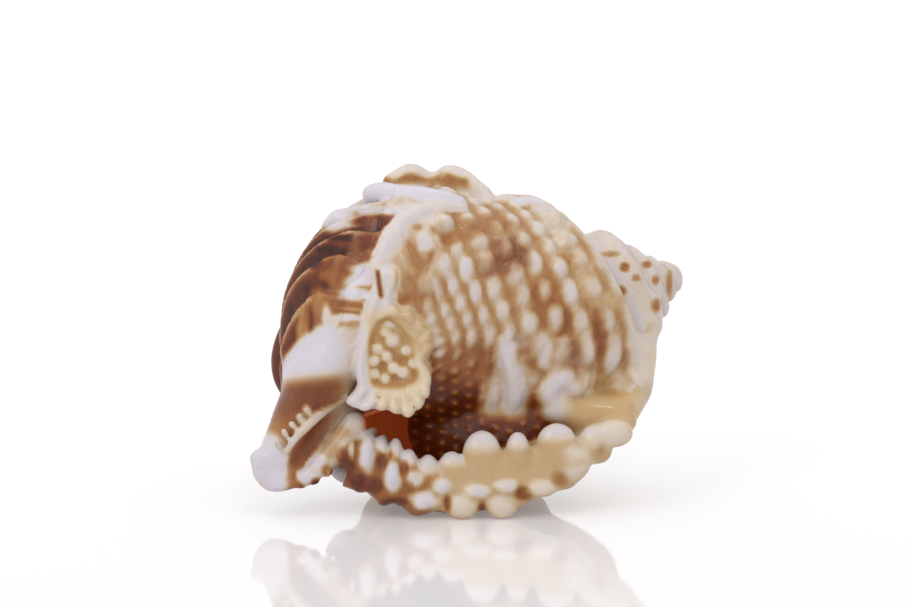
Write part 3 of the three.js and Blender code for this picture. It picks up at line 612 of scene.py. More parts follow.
# place, half width along the lip, half height
LIP_TEETH = [((-10.6, 3, 9.1), 0.75, 1), ((-9, 2.9, 8.3), 0.81, 1.4), ((-7.3, 2.9, 7.8), 0.88, 1.8),
             ((-5.7, 2.6, 6.3), 1.1, 2), ((-3.3, 2.4, 5.7), 1.3, 1.9), ((-0.4, 2.4, 5.9), 1.7, 2.1),
             ((3.3, 2.4, 7.5), 2.4, 3.1), ((7.7, 2.5, 7.9), 1.5, 2.5), ((12.5, 2.9, 8.8), 2.5, 2.6),
             ((16.9, 3.6, 9.1), 1.6, 1.8)]
LIP_FACE_KNOBS = [((-10.9, 2.3, 7.3), 1, 2.1), ((-7.7, 1.8, 5), 1.1, 2.1), ((-5.2, 1.9, 4.5), 1, 1.4),
                  ((-3.8, 1.6, 1.7), 1.6, 1.1), ((-1.7, 1.6, 3.7), 1.1, 1.1), ((1, 1.6, 1.2), 1.6, 1.5),
                  ((2.7, 1.5, 3.2), 1.5, 0.88), ((5.7, 1.7, 1.2), 1.6, 1.5), ((6.4, 1.5, 3.8), 1.5, 0.81),
                  ((10.6, 2, 3.4), 1.8, 1), ((14.8, 2.7, 6.4), 1.8, 1.9), ((19.5, 3.6, 10.1), 2.4, 1.8),
                  ((-12.9, 3, 8.1), 0.88, 1.8), ((-9.3, 2.6, 6.6), 0.62, 1.1)]
LIP_PITS = [(-9.1, 0.9, 6.8), (-6.2, 0.6, 6.4), (-5.4, 0.2, 3.5), (-1, 0, 2), (3.3, 0, 0.8),
            (8.2, 0.3, 3), (12.9, 0.8, 4.7), (18.1, 2.2, 7.6), (-3.1, 0.2, 0.2), (-11.2, 1.2, 4.2),
            (-7.4, 0.4, 1.9)]
LIP_PIT = (0.5, 1.0, 1.1)
BAND_FILLET, KNOB_FILLET, TOOTH_FILLET, PIT_FILLET, FLANGE_FILLET = 0.8, 1.1, 0.9, 0.5, 2.6
FLANGE = [
    (24.6, 15.6, 24.4, 0.8), (24.4, 14.7, 22, 1.2), (23.9, 13.4, 19.3, 1.4), (23.6, 12.2, 16.8, 1.4),
    (22.9, 10.6, 14.5, 1.4), (21.8, 8.9, 12.8, 1.4), (20.4, 7.4, 11.4, 1.4),
]
LIP_TAN, LIP_BROWN, TOOTH_WHITE, PIT_BROWN = (0.64, 0.8), (0.34, 0.9), (0.9, 0.15), (0.2, 0.9)
FLANGE_CREAM = (0.8, 0.4)
LIP_STAINS = [
    (-13.1, -15.3, 3.2, 0.8, 0.88, 0.4), (-10.9, -16.3, 1.5, 0.8, 0.9, 0.3),
    (-13.8, -17.1, 1, 0.9, 0.5, 0.7), (-13.5, -20.3, 1.1, 1.5, 0.14, 0.7),
    (-12.9, -18.3, 0.3, 1.2, 0.8, 0.2), (-14.4, -18.3, 0.2, 1.1, 0.7, 0.3), (-11, -18.9, 1, 2, 0.97, 0),
    (-8.9, -17.8, 1, 1, 0.86, 0.3), (-9.2, -19.9, 0.8, 1.1, 0.24, 0.9), (-10.1, -22.8, 1.2, 1, 0.14, 0.8),
    (-12.1, -22.3, 1, 1.1, 0.12, 0.6), (-7.8, -21.7, 1, 1.9, 0.98, 0), (-7.1, -18.1, 0.8, 1.2, 0.85, 0.3),
    (-5.6, -19.1, 0.9, 1.1, 0.85, 0.3), (-6.4, -20.6, 0.5, 1, 0.3, 0.9), (-5, -21.9, 1, 1.1, 0.86, 0.2),
    (-3.4, -20.4, 1.5, 1.1, 0.8, 0.5), (-7.4, -24.8, 1.6, 0.5, 0.14, 0.8),
    (-3.8, -24.6, 1.6, 1.1, 0.97, 0), (-1.6, -22.8, 1, 1, 0.92, 0.1), (-0.9, -25.1, 0.5, 1, 0.22, 0.9),
    (-3.1, -26.6, 2, 0.4, 0.24, 0.9), (1, -25.4, 1.6, 1.5, 0.84, 0.5), (2.8, -23.4, 1.4, 0.8, 0.9, 0.2),
    (3.4, -25.9, 0.5, 1.1, 0.2, 1), (5.8, -25.4, 1.6, 1.5, 0.84, 0.5), (6.5, -22.8, 1.4, 0.8, 0.88, 0.2),
    (8.6, -23.7, 1.1, 0.9, 0.28, 0.9), (11, -23.1, 1.8, 1, 0.84, 0.5), (13.1, -21.9, 1, 0.9, 0.44, 0.9),
    (15.2, -19.8, 1.8, 2.1, 0.84, 0.3), (18.4, -18.9, 0.9, 0.6, 0.62, 0.9),
    (19.8, -16.2, 2.4, 1.8, 0.86, 0.5), (17.1, -17.3, 1.5, 0.9, 0.76, 0.6),
    (9.4, -19.8, 6.2, 1.1, 0.64, 0.85),
]


def lip_band(p):
    outer, inner = smooth_curve(LIP_OUTER, 40), smooth_curve(LIP_INNER, 40)
    middle = 0.5 * (outer + inner)
    _, t = near_curve(p, middle)
    k = t * (len(middle) - 1)
    i = np.minimum(k.astype(int), len(middle) - 2)
    w = (k - i)[:, None]
    across = (inner - outer)[i] * (1 - w) + (inner - outer)[i + 1] * w
    width = np.sqrt((across**2).sum(1))
    across /= width[:, None]
    along = middle[i + 1] - middle[i]
    along /= np.sqrt((along**2).sum(1))[:, None]
    forward = np.cross(along, across)
    forward *= np.where(forward[:, 1] > 0, -1.0, 1.0)[:, None]
    gap = p - (middle[i] * (1 - w) + middle[i + 1] * w)
    a, f, e = (gap * across).sum(1), (gap * forward).sum(1), (gap * along).sum(1)
    turn = 2 * math.pi * (LIP_EDGE_KNOBS * t + 0.2 * np.sin(9 * t))
    knob = LIP_EDGE_HEIGHT * np.cos(turn) * ease(0.3, -1.0, a / (0.5 * width))
    jagged = 0.5 * ease(0.78, 0.9, t) * np.sin(95 * t) * ease(0.0, 0.6, np.abs(a) / width)
    half = 0.5 * width + knob + jagged - 0.2
    face = 0.5 * LIP_DEPTH + 0.35 * bump(a, -0.1 * width, 0.4 * width)
    q = np.stack([np.abs(a) - half + LIP_ROUNDING, np.abs(f + 0.5 * LIP_DEPTH) - face + LIP_ROUNDING], 1)
    d = np.sqrt((np.maximum(q, 0) ** 2).sum(1)) + np.minimum(q.max(1), 0) - LIP_ROUNDING
    return np.maximum(d, np.abs(e) - 0.6)


def lip_balls(p, places):
    """Distance from the teeth or from the knobs."""
    return np.min([ball(p, at, (wide, TOOTH_DEPTH, high)) for at, wide, high in places], axis=0)


def add_lip(d, p):
    apply_near(d, p, *LIP_BOX, lip_band, fuse, BAND_FILLET)
    apply_near(d, p, *LIP_BOX, lambda q: lip_balls(q, LIP_FACE_KNOBS), fuse, KNOB_FILLET)
    apply_near(d, p, *LIP_BOX, lambda q: lip_balls(q, LIP_TEETH), fuse, TOOTH_FILLET)
    for at in LIP_PITS:
        add_ball(d, p, at, LIP_PIT, PIT_FILLET, carve)
    add_rod(d, p, FLANGE, FLANGE_FILLET)


def paint_lip(colour, p, u, v):
    """Lays the colours of the lip and the flange, and gives their mask."""
    nearest = np.minimum(lip_balls(p, LIP_FACE_KNOBS), lip_balls(p, LIP_TEETH))
    lip = ease(0.8, 0.3, np.minimum(lip_band(p), nearest))
    ground = blend(LIP_TAN, LIP_BROWN, ease(-1.0, -4.5, u))
    colour = blend(colour, stain(ground, u, v, LIP_STAINS), lip)
    for at, wide, high in LIP_TEETH:
        upper = ease(0.0, 0.7 * high, p[:, 2] - at[2])
        tooth = ease(0.5, 0.1, ball(p, at, (wide, TOOTH_DEPTH, high)))
        colour = blend(colour, TOOTH_WHITE, tooth * upper)
    for at in LIP_PITS:
        colour = blend(colour, PIT_BROWN, 0.7 * ease(0.2, -0.3, ball(p, at, LIP_PIT)))
    flange = ease(0.6, 0.1, rod(p, FLANGE))
    return blend(colour, FLANGE_CREAM, flange), np.maximum(lip, flange)


# Small ridges at the left. Two ribs of lime edge the left side, and a thin fold of the earlier lip
# stands behind the left end of the last one.
SIDE_RIBS = [
    [(-20.4, 9.5, 23.5, 0.7), (-21.3, 9.5, 21, 1), (-21.8, 9.5, 18.5, 1.1),
     (-21.7, 9.5, 16.2, 1), (-21.1, 10, 14, 0.7)],
    [(-19.6, 7.5, 22.1, 0.6), (-20.4, 7.5, 19.8, 0.8), (-21, 7.5, 17.6, 0.8),
     (-20.9, 8, 15, 0.6)],
]
FOLD = [(-15.5, 9, 5.4, 0.8), (-14.4, 9, 4.5, 1.3), (-13.4, 9, 4.1, 1.4), (-12.2, 9, 4.2, 1.2)]
SIDE_FILLET, FOLD_FILLET = 0.4, 0.5
SIDE_BROWN, FOLD_WHITE, FOLD_BROWN = (0.16, 0.7), (0.95, 0.0), (0.15, 0.6)


def add_left_side(d, p):
    for stations in SIDE_RIBS:
        add_rod(d, p, stations, SIDE_FILLET)
    add_rod(d, p, FOLD, FOLD_FILLET)


def paint_left_side(colour, p, u):
    fold = ease(0.5, 0.1, rod(p, FOLD))
    colour = blend(colour, blend(FOLD_WHITE, FOLD_BROWN, ease(-14.0, -13.2, u)), fold)
    for stations in SIDE_RIBS:
        colour = blend(colour, SIDE_BROWN, ease(0.6, 0.3, rod(p, stations)))
    return colour


# The cheek and the canal. A smooth tongue of glaze runs down from the ear to the tip, where the animal
# put out its breathing tube. Along its inner side is a groove, with a thin rim and small slanting teeth
# on the near edge and a low wall on the far one.
CANAL = [(-10.6, 4.6, 26.2, 2.2), (-12.9, 4.2, 22.4, 3.6), (-15.9, 5.2, 18, 4.6), (-17.2, 6, 13.6, 4.5),
         (-19, 5.8, 9.8, 4.2), (-20.9, 5, 7.2, 3.4), (-21.8, 4.6, 5.9, 2.8), (-22.2, 4.4, 5.2, 2.3)]
CANAL_GROOVE = [(-12, 3.2, 12.9, 1.5), (-14.8, 2.2, 11.3, 1.7), (-17.2, 1.4, 8.8, 1.6),
                (-19.4, 1, 6.5, 1.2), (-21, 0.8, 4.4, 0.8)]
CANAL_WALL = [(-12.4, 3.8, 11.2, 1.5), (-14.3, 3.4, 8.8, 1.5), (-16.4, 3, 6.4, 1.3), (-18.5, 2.8, 4.7, 1)]
WALL_KNOBS = [(-18.9, 2.6, 4.2), (-17.4, 2.5, 4.6), (-15.8, 2.6, 5.6), (-13.9, 2.6, 7.6)]
CANAL_TIP_KNOBS = [
    (-24.3, 3.6, 6.9), (-23.8, 3.6, 5.2), (-22.7, 3.4, 4.1), (-21.3, 3.2, 4.1), (-20, 3, 4.4),
]
TIP_KNOB, WALL_KNOB = (1.0, 1.0, 1.0), (0.8, 0.8, 0.8)
CANAL_DISH = ((-22.6, 0.9, 5.0), (1.6, 1.6, 2.6))
CANAL_EDGE = [
    (-20.7, 1.2, 8.1, 0.35), (-19.5, 1.2, 9.9, 0.45), (-18.2, 1.3, 11.2, 0.5), (-16.8, 1.7, 12.5, 0.5),
    (-15.3, 2.2, 13.7, 0.5), (-14, 2.6, 14.4, 0.35),
]
CANAL_TEETH = [(-21.4, 1.3, 8.7), (-20.6, 1.3, 10.1), (-19.6, 1.3, 11.1), (-18.7, 1.5, 11.9),
               (-17.8, 1.7, 12.9), (-16.7, 2, 13.6), (-15.6, 2.4, 14.3)]
TOOTH_LEAN, TOOTH_RADII = np.array([0.35, 0.0, -0.5]), (0.42, 0.22)
CHEEK_FILLET, DISH_FILLET, GROOVE_FILLET, RIM_FILLET, SMALL_TOOTH_FILLET = 1.2, 0.8, 0.5, 0.4, 0.3
CHEEK_WHITE, CHEEK_GREY, CHEEK_FADE = (0.97, 0.0), (0.77, 0.0), (0.66, 0.3)
CHEEK_BROWN, TIP_BROWN, GROOVE_BROWN, GROOVE_LILAC = (0.24, 0.75), (0.42, 0.9), (0.22, 0.8), (0.62, 0.15)
CANAL_WALL_CREAM, CANAL_TOOTH_CREAM, CANAL_EDGE_CREAM = (0.78, 0.2), (0.92, 0.15), (0.9, 0.1)
WALL_STAINS = [
    (-15.6, -18.3, 1.5, 1.5, 0.6, 0.5), (-13.6, -19.8, 1, 1.8, 0.15, 0.6), (-17.1, -19.8, 1, 1, 0.92, 0),
    (-18.8, -21.4, 1.2, 1, 0.97, 0), (-14.4, -16.1, 1.5, 0.9, 0.6, 0.6), (-19.2, -19.8, 0.5, 1, 0.3, 0.8),
    (-16.1, -20.8, 0.6, 0.8, 0.4, 0.6),
]


def canal_tooth(p, at):
    """A short slanting ridge across the near edge of the groove."""
    at = np.array(at)
    return rod(p, [(*(at - TOOTH_LEAN), TOOTH_RADII[0]), (*(at + TOOTH_LEAN), TOOTH_RADII[1])], 6)


def add_canal(d, p):
    add_rod(d, p, CANAL, CHEEK_FILLET)
    add_rod(d, p, CANAL_GROOVE, GROOVE_FILLET, carve)
    add_rod(d, p, CANAL_WALL, GROOVE_FILLET)
    for at in CANAL_TIP_KNOBS:
        add_ball(d, p, at, TIP_KNOB, CHEEK_FILLET)
    add_ball(d, p, *CANAL_DISH, DISH_FILLET, carve)
    add_rod(d, p, CANAL_EDGE, RIM_FILLET)
    for at in CANAL_TEETH:
        apply_near(d, p, at, at, lambda q: canal_tooth(q, at), fuse, SMALL_TOOTH_FILLET)
    for at in WALL_KNOBS:
        add_ball(d, p, at, WALL_KNOB, GROOVE_FILLET)


def paint_canal(colour, p, u, v):
    """Lays the colours of cheek and canal, and gives the masks of both and of the brown part."""
    canal = rod(p, CANAL)
    for at in CANAL_TIP_KNOBS:
        canal = np.minimum(canal, ball(p, at, TIP_KNOB))
    canal = ease(0.9, 0.2, canal)
    low = ease(-7.7, -10.3, v - 0.12 * (u + 15.0))
    tip = ease(1.25, 0.85, np.hypot((u + 23.6) / 2.9, (v + 20.6) / 4.2))
    brown = blend(CHEEK_BROWN, TIP_BROWN, ease(-12.5, -16.0, v) * ease(-17.0, -20.5, u))
    brown = blend(brown, CHEEK_FADE, ease(-15.6, -12.8, u))
    cheek = blend(blend(CHEEK_WHITE, CHEEK_GREY, ease(-15.5, -12.5, u)), brown, low)
    colour = blend(colour, blend(cheek, CHEEK_WHITE, tip), canal)
    groove = ease(0.5, -0.1, rod(p, CANAL_GROOVE)) * canal
    colour = blend(colour, blend(GROOVE_BROWN, GROOVE_LILAC, bump(u, -14.4, 2.0)), groove)
    wall = ease(0.5, 0.1, rod(p, CANAL_WALL))
    colour = blend(colour, stain(CANAL_WALL_CREAM, u, v, WALL_STAINS), wall)
    for at in CANAL_TEETH:
        colour = blend(colour, CANAL_TOOTH_CREAM, ease(0.25, -0.1, canal_tooth(p, at)))
    return blend(colour, CANAL_EDGE_CREAM, ease(0.3, -0.1, rod(p, CANAL_EDGE))), canal, canal * low


# The ear. A plate of lime stands over the mouth: a pit set with beads, a scalloped rim of two leaves,
# and a fluted lower edge. Its outline and its pit are [across, up], seen from the front, and it grew as
# one with the whorl behind it.
EAR_FRONT, EAR_THICKNESS = -0.2, 2.6
EAR_BOX = (-13.6, -1.2, 12.0), (-2.4, 2.0, 31.4)
EAR_OUTLINE = [(-9.2, 30.9), (-8.3, 31.1), (-7.4, 30.8), (-7.1, 29.7), (-7.5, 28.2), (-7.6, 26.7),
               (-6.7, 26.1), (-5.6, 25.9), (-4.7, 25), (-4, 24.3), (-3.2, 23.4), (-2.8, 22.3),
               (-2.9, 21.2), (-3.8, 19.8), (-3.4, 18.9), (-2.9, 17.8), (-3, 16.3), (-3.5, 14.9),
               (-4.3, 13.8), (-5.2, 13), (-6.1, 12.7), (-7.1, 13.2), (-8.2, 13.5), (-9.7, 13.7),
               (-11.7, 13.6), (-13.4, 14.5), (-12.5, 15.6), (-11.9, 16.7), (-12.2, 18.1), (-12.1, 19.6),
               (-11.8, 21.3), (-11.4, 22.9), (-11.2, 24.3), (-11, 25.6), (-10.4, 27.2), (-9.6, 28.7),
               (-9.3, 29.8)]
EAR_PIT = [(-9.3, 24.5), (-7.9, 25), (-6.4, 23.8), (-5.6, 22.6), (-5.2, 21.1), (-5, 19.4), (-4.6, 17.9),
           (-5.2, 16.9), (-6.7, 16.4), (-8.5, 16.4), (-10, 16.8), (-10.3, 18.6), (-10.4, 20.9),
           (-10.1, 22.9)]
EAR_LEAF = [(-7.4, 24.4), (-6.4, 24), (-5.5, 22.9), (-4.4, 22.3), (-3.7, 21.3), (-3.4, 19.9)]
# place across and up, and size
EAR_BEADS = [(-7.6, 22.1, 0.81), (-9.4, 21.1, 0.62), (-9.8, 19.6, 0.62), (-9.8, 18, 0.56),
             (-8.3, 20.1, 0.62), (-7.5, 18.7, 0.69), (-6.3, 18.1, 0.69), (-8.5, 23.2, 0.56),
             (-8.5, 17.4, 0.56), (-6, 20.8, 0.56), (-5.1, 19.3, 0.56)]
EAR_BEAD = np.array([1.3, 1.3, 1.2])
FLUTES, FLUTES_AT = 22, (-7.4, 19.2)
PIT_DEPTH, EAR_RIM, LEAF_RIM, LOOP_RISE, LOW_FLUTE, HIGH_FLUTE = 1.1, 0.4, 0.4, 0.4, 0.9, 0.6
EAR_ROUNDING, EAR_BEAD_FILLET, EAR_FILLET = 0.7, 0.5, 0.6
FAN_CREAM, EAR_WHITE, LOOP_WHITE, SLIT_PAINTED_SHADE = (0.8, 0.7), (0.92, 0.2), (0.93, 0.15), (0.14, 0.8)
PIT_YELLOW, LEAF_TAN, EAR_BEAD_CREAM = (0.46, 1.4), (0.64, 0.95), (0.84, 0.5)


def in_outline(x, z, line):
    """Signed distance in the plane from a closed line of points."""
    best = np.full(len(x), 1e9)
    crossings = np.zeros(len(x), int)
    for (ax, az), (bx, bz) in zip(line, np.roll(line, -1, axis=0)):
        sx, sz = bx - ax, bz - az
        t = np.clip(((x - ax) * sx + (z - az) * sz) / max(sx * sx + sz * sz, 1e-12), 0, 1)
        best = np.minimum(best, np.hypot(x - ax - t * sx, z - az - t * sz))
        crossings += ((az > z) != (bz > z)) & (x < ax + (z - az) * sx / (sz if abs(sz) > 1e-12 else 1e-12))
    return np.where(crossings % 2 == 1, -best, best)


def upper_leaf(x, z):
    return ease(19.5, 21.5, z) * ease(-8.0, -7.0, x)


def ear(p):
    """Distance from the ear, and distance in its plane from the edge of its pit."""
    x, y, z = p.T
    pit = in_outline(x, z, smooth_curve(EAR_PIT + EAR_PIT[:1], 44)[:-1])
    angle = np.arctan2(z - FLUTES_AT[1], x - FLUTES_AT[0])
    flute = np.abs(np.sin(0.5 * FLUTES * angle)) ** 0.6 * ease(0.1, 1.2, pit)
    low, high = ease(17.2, 15.6, z) * ease(-12.2, -11.0, x), upper_leaf(x, z)
    edge = in_outline(x, z, smooth_curve(EAR_OUTLINE + EAR_OUTLINE[:1], 80)[:-1])
    edge = edge - 0.25 * (flute - 0.5) * np.maximum(low, high)
    leaf, _ = near_curve(np.stack([x, z], 1), smooth_curve(EAR_LEAF, 24))
    relief = EAR_RIM * bump(edge, -0.7, 0.5) - PIT_DEPTH * ease(0.4, -1.1, pit)
    relief += (LOW_FLUTE * low + HIGH_FLUTE * high) * (flute - 0.4)
    relief += LEAF_RIM * bump(leaf, 0.0, 0.35) + LOOP_RISE * ease(24.0, 25.5, z)
    plate = np.maximum(EAR_FRONT - relief - y, y - EAR_FRONT - EAR_THICKNESS)
    d = -fuse(-edge, -plate, EAR_ROUNDING)
    for bx, bz, size in EAR_BEADS:
        bead = ball(p, (bx, EAR_FRONT + PIT_DEPTH, bz), size * EAR_BEAD)
        d = fuse(d, bead, EAR_BEAD_FILLET)
    return d, pit


def paint_ear(colour, p):
    """Lays the ear's colours, and gives its mask."""
    x, y, z = p.T
    plate, pit = ear(p)
    on_ear = ease(0.6, 0.1, plate) * ease(3.0, 1.5, y)
    colour = blend(colour, blend(FAN_CREAM, EAR_WHITE, ease(-10.0, -10.8, x + 0.12 * (z - 20))), on_ear)
    colour = blend(colour, LOOP_WHITE, on_ear * ease(25.5, 27.0, z))
    # the slit is not cut: a dark stripe painted on the ear stands in for it and its shade
    slit = bump(x + 0.15 * (z - 29.0), -9.15, 0.35) * ease(27.0, 28.0, z) * ease(31.2, 30.4, z)
    colour = blend(colour, SLIT_PAINTED_SHADE, on_ear * slit)
    colour = blend(colour, PIT_YELLOW, on_ear * ease(0.6, -0.3, pit))
    colour = blend(colour, LEAF_TAN, on_ear * 0.7 * upper_leaf(x, z))
    for bx, bz, size in EAR_BEADS:
        colour = blend(colour, EAR_BEAD_CREAM, ease(1.5, 0.7, np.hypot(x - bx, z - bz) / size) * on_ear)
    return colour, on_ear


# The lime. It is crystals laid down in glossy layers, a little see-through at thin edges. Pale and warm
# pick a colour between two rows of shell tones, clouds, streaks and specks of pigment are worked in, and
# a painted glow from the skin in the hollow stands in for light that has come through the wall.
GREYISH = [(0, (56, 22, 12)), (0.2, (98, 52, 36)), (0.4, (138, 94, 68)), (0.6, (178, 149, 124)),
           (0.8, (204, 191, 185)), (1, (209, 203, 213))]
YELLOWISH = [(0, (64, 22, 7)), (0.2, (118, 54, 18)), (0.4, (160, 102, 50)), (0.6, (188, 152, 100)),
             (0.8, (218, 198, 160)), (1, (226, 218, 204))]
MARKINGS = ("pale", "warm", "mottle", "inside", "cord", "growth")
# the hollow's own orange colour, and the painted glow that the skin in the hollow gives off
HOLLOW_ORANGE, PAINTED_GLOW = (200, 104, 48), [(0.0, (0, 0, 0)), (1.0, (225, 100, 48))]
CLOUDING, STREAKING, SPECKLING, WARM_DRIFT = 2.0, 1.6, 0.05, 0.6
STREAKS_PER_TURN, THREADS_PER_CORD = 22.0, 4


def linear(*shares):
    """Colour for a socket from shares of 255 as a screen shows them."""
    return (*(((c / 255 + 0.055) / 1.055) ** 2.4 if c > 10 else c / 3294 for c in shares), 1.0)


def give(tree, socket, value):
    """Links a socket to another, or sets it."""
    if isinstance(value, bpy.types.NodeSocket):
        tree.links.new(value, socket)
    else:
        socket.default_value = value


def add(tree, kind, **sockets):
    """A node of the kind, with its inputs set or linked."""
    node = tree.nodes.new(kind)
    for name, value in sockets.items():
        give(tree, node.inputs[name], value)
    return node


def calculate(tree, operation, *values):
    node = tree.nodes.new("ShaderNodeMath")
    node.operation = operation
    for socket, value in zip(node.inputs, values):
        give(tree, socket, value)
    return node.outputs[0]


def noise(tree, place, scale, detail, roughness=0.5):
    """Noise, and the same noise about nought."""
    node = add(tree, "ShaderNodeTexNoise", Vector=place, Scale=scale, Detail=detail, Roughness=roughness)
    return node.outputs[0], calculate(tree, "SUBTRACT", node.outputs[0], 0.5)


def mixed(tree, share, first, second):
    node = tree.nodes.new("ShaderNodeMix")
    node.data_type = "RGBA"
    for k, value in ((0, share), (6, first), (7, second)):
        give(tree, node.inputs[k], value)
    return node.outputs[2]


def tones(tree, stops, factor):
    ramp = add(tree, "ShaderNodeValToRGB", Fac=factor)
    elements = ramp.color_ramp.elements
    while len(elements) < len(stops):
        elements.new(0.5)
    for element, (at, colour) in zip(elements, stops):
        element.position = at
        element.color = linear(*colour)
    return ramp.outputs["Color"]


def shell_colour():
    """Node group: colour, fine relief and the painted glow of the hollow from the markings of a place."""
    tree = bpy.data.node_groups.new("shell_colour", "ShaderNodeTree")
    for name in MARKINGS:
        tree.interface.new_socket(name.capitalize(), in_out="INPUT", socket_type="NodeSocketFloat")
    tree.interface.new_socket("Color", in_out="OUTPUT", socket_type="NodeSocketColor")
    tree.interface.new_socket("Height", in_out="OUTPUT", socket_type="NodeSocketFloat")
    tree.interface.new_socket("Glow", in_out="OUTPUT", socket_type="NodeSocketColor")
    pale, warm, mottle, inside, cord, growth = list(tree.nodes.new("NodeGroupInput").outputs)[:6]
    place = tree.nodes.new("ShaderNodeTexCoord").outputs["Object"]
    along = calculate(tree, "MULTIPLY", growth, STREAKS_PER_TURN)
    on_cord = add(tree, "ShaderNodeCombineXYZ", X=cord, Y=along).outputs[0]
    _, clouds = noise(tree, place, 260.0, 5.0, 0.6)
    _, specks = noise(tree, place, 1400.0, 3.0, 0.6)
    _, drift = noise(tree, place, 500.0, 2.0)
    grain, _ = noise(tree, place, 1100.0, 4.0)
    streaks, streaking = noise(tree, on_cord, 4.0, 4.0, 0.65)
    pale = calculate(tree, "MULTIPLY_ADD", clouds, calculate(tree, "MULTIPLY", mottle, CLOUDING), pale)
    pale = calculate(tree, "MULTIPLY_ADD", streaking, calculate(tree, "MULTIPLY", mottle, STREAKING), pale)
    pale = calculate(tree, "MULTIPLY_ADD", specks, SPECKLING, pale)
    warm = calculate(tree, "MULTIPLY_ADD", drift, WARM_DRIFT, warm)
    lime_tone = mixed(tree, warm, tones(tree, GREYISH, pale), tones(tree, YELLOWISH, pale))
    threads = calculate(tree, "SINE", calculate(tree, "MULTIPLY", cord, 2 * math.pi * THREADS_PER_CORD))
    lines = calculate(tree, "MULTIPLY_ADD", threads, 0.15, streaks)
    lines = calculate(tree, "MULTIPLY", lines, calculate(tree, "MULTIPLY", mottle, 4.0))
    out = tree.nodes.new("NodeGroupOutput")
    tree.links.new(mixed(tree, inside, lime_tone, linear(*HOLLOW_ORANGE)), out.inputs["Color"])
    tree.links.new(calculate(tree, "MULTIPLY_ADD", grain, 0.6, lines), out.inputs["Height"])
    tree.links.new(tones(tree, PAINTED_GLOW, inside), out.inputs["Glow"])
    return tree


lime = bpy.data.materials.new("shell_lime")
lime.use_nodes = True
nodes = lime.node_tree
markings = nodes.nodes.new("ShaderNodeGroup")
markings.node_tree = shell_colour()
for name in MARKINGS:
    attribute = nodes.nodes.new("ShaderNodeAttribute")
    attribute.attribute_name = name
    nodes.links.new(attribute.outputs["Fac"], markings.inputs[name.capitalize()])
bumps = add(nodes, "ShaderNodeBump", Height=markings.outputs["Height"], Strength=0.6, Distance=0.00016)
surface = nodes.nodes["Principled BSDF"]
for name, value in (
        ("Base Color", markings.outputs["Color"]), ("Normal", bumps.outputs["Normal"]),
        # the emission is a painted glow in the hollow, not a lamp
        ("Emission Color", markings.outputs["Glow"]), ("Emission Strength", 0.11),
        ("Roughness", 0.32), ("Specular IOR Level", 0.25),
        ("Coat Weight", 0.25), ("Coat Roughness", 0.08),
        ("Subsurface Weight", 0.08), ("Subsurface Radius", (1.0, 0.5, 0.3)), ("Subsurface Scale", 0.0012)):
    give(nodes, surface.inputs[name], value)


# The whole shell. All its forms grew together as one piece of lime, so they are one closed skin: the
# surface where the distance is nought, found on a grid of cubes and then drawn onto it. It carries its
# own markings, and lies on a floor that wears its knobs flat.
FLOOR = -0.25
GRID_STEP, COARSE = 0.38, 4
BOX_LOW, BOX_HIGH = np.array([-25.6, -2.8, -1.2]), np.array([29.8, 30.0, 42.6])


def shell(p):
    """Distance from the whole shell."""
    d = whorls(p)[0]
    add_ridges(d, p)
    add_back(d, p)
    add_lip(d, p)
    add_left_side(d, p)
    add_canal(d, p)
    apply_near(d, p, *EAR_BOX, lambda q: ear(q)[0], fuse, EAR_FILLET)
    return np.maximum(d, FLOOR - p[:, 2])


def paint(p):
    """The six markings at each place."""
    u, v = seen(p)
    colour, mottle, inside, cord, growth = whorl_colour(p, u, v)
    colour = paint_ridges(colour, p, u, v)
    colour = paint_back(colour, p)
    colour, lip = paint_lip(colour, p, u, v)
    colour, canal, brown = paint_canal(colour, p, u, v)
    colour = paint_left_side(colour, p, u)
    colour, wall = paint_wall(colour, p, lip)
    colour, on_ear = paint_ear(colour, p)
    mottle = np.maximum(mottle * (1 - np.maximum(np.maximum(canal, on_ear), lip)), 0.1 * brown)
    inside = inside * (1 - lip) * (1 - on_ear) * (1 - canal) * (1 - wall)
    inside = inside * ease(-12.0, -11.0, u) * ease(12.0, 9.0, u)
    return np.clip(colour[0], 0, 1), np.clip(colour[1], 0, 1.5), mottle, inside, cord, growth


def chunks(field, p, size=30000):
    return np.concatenate([field(p[i:i + size]) for i in range(0, len(p), size)])


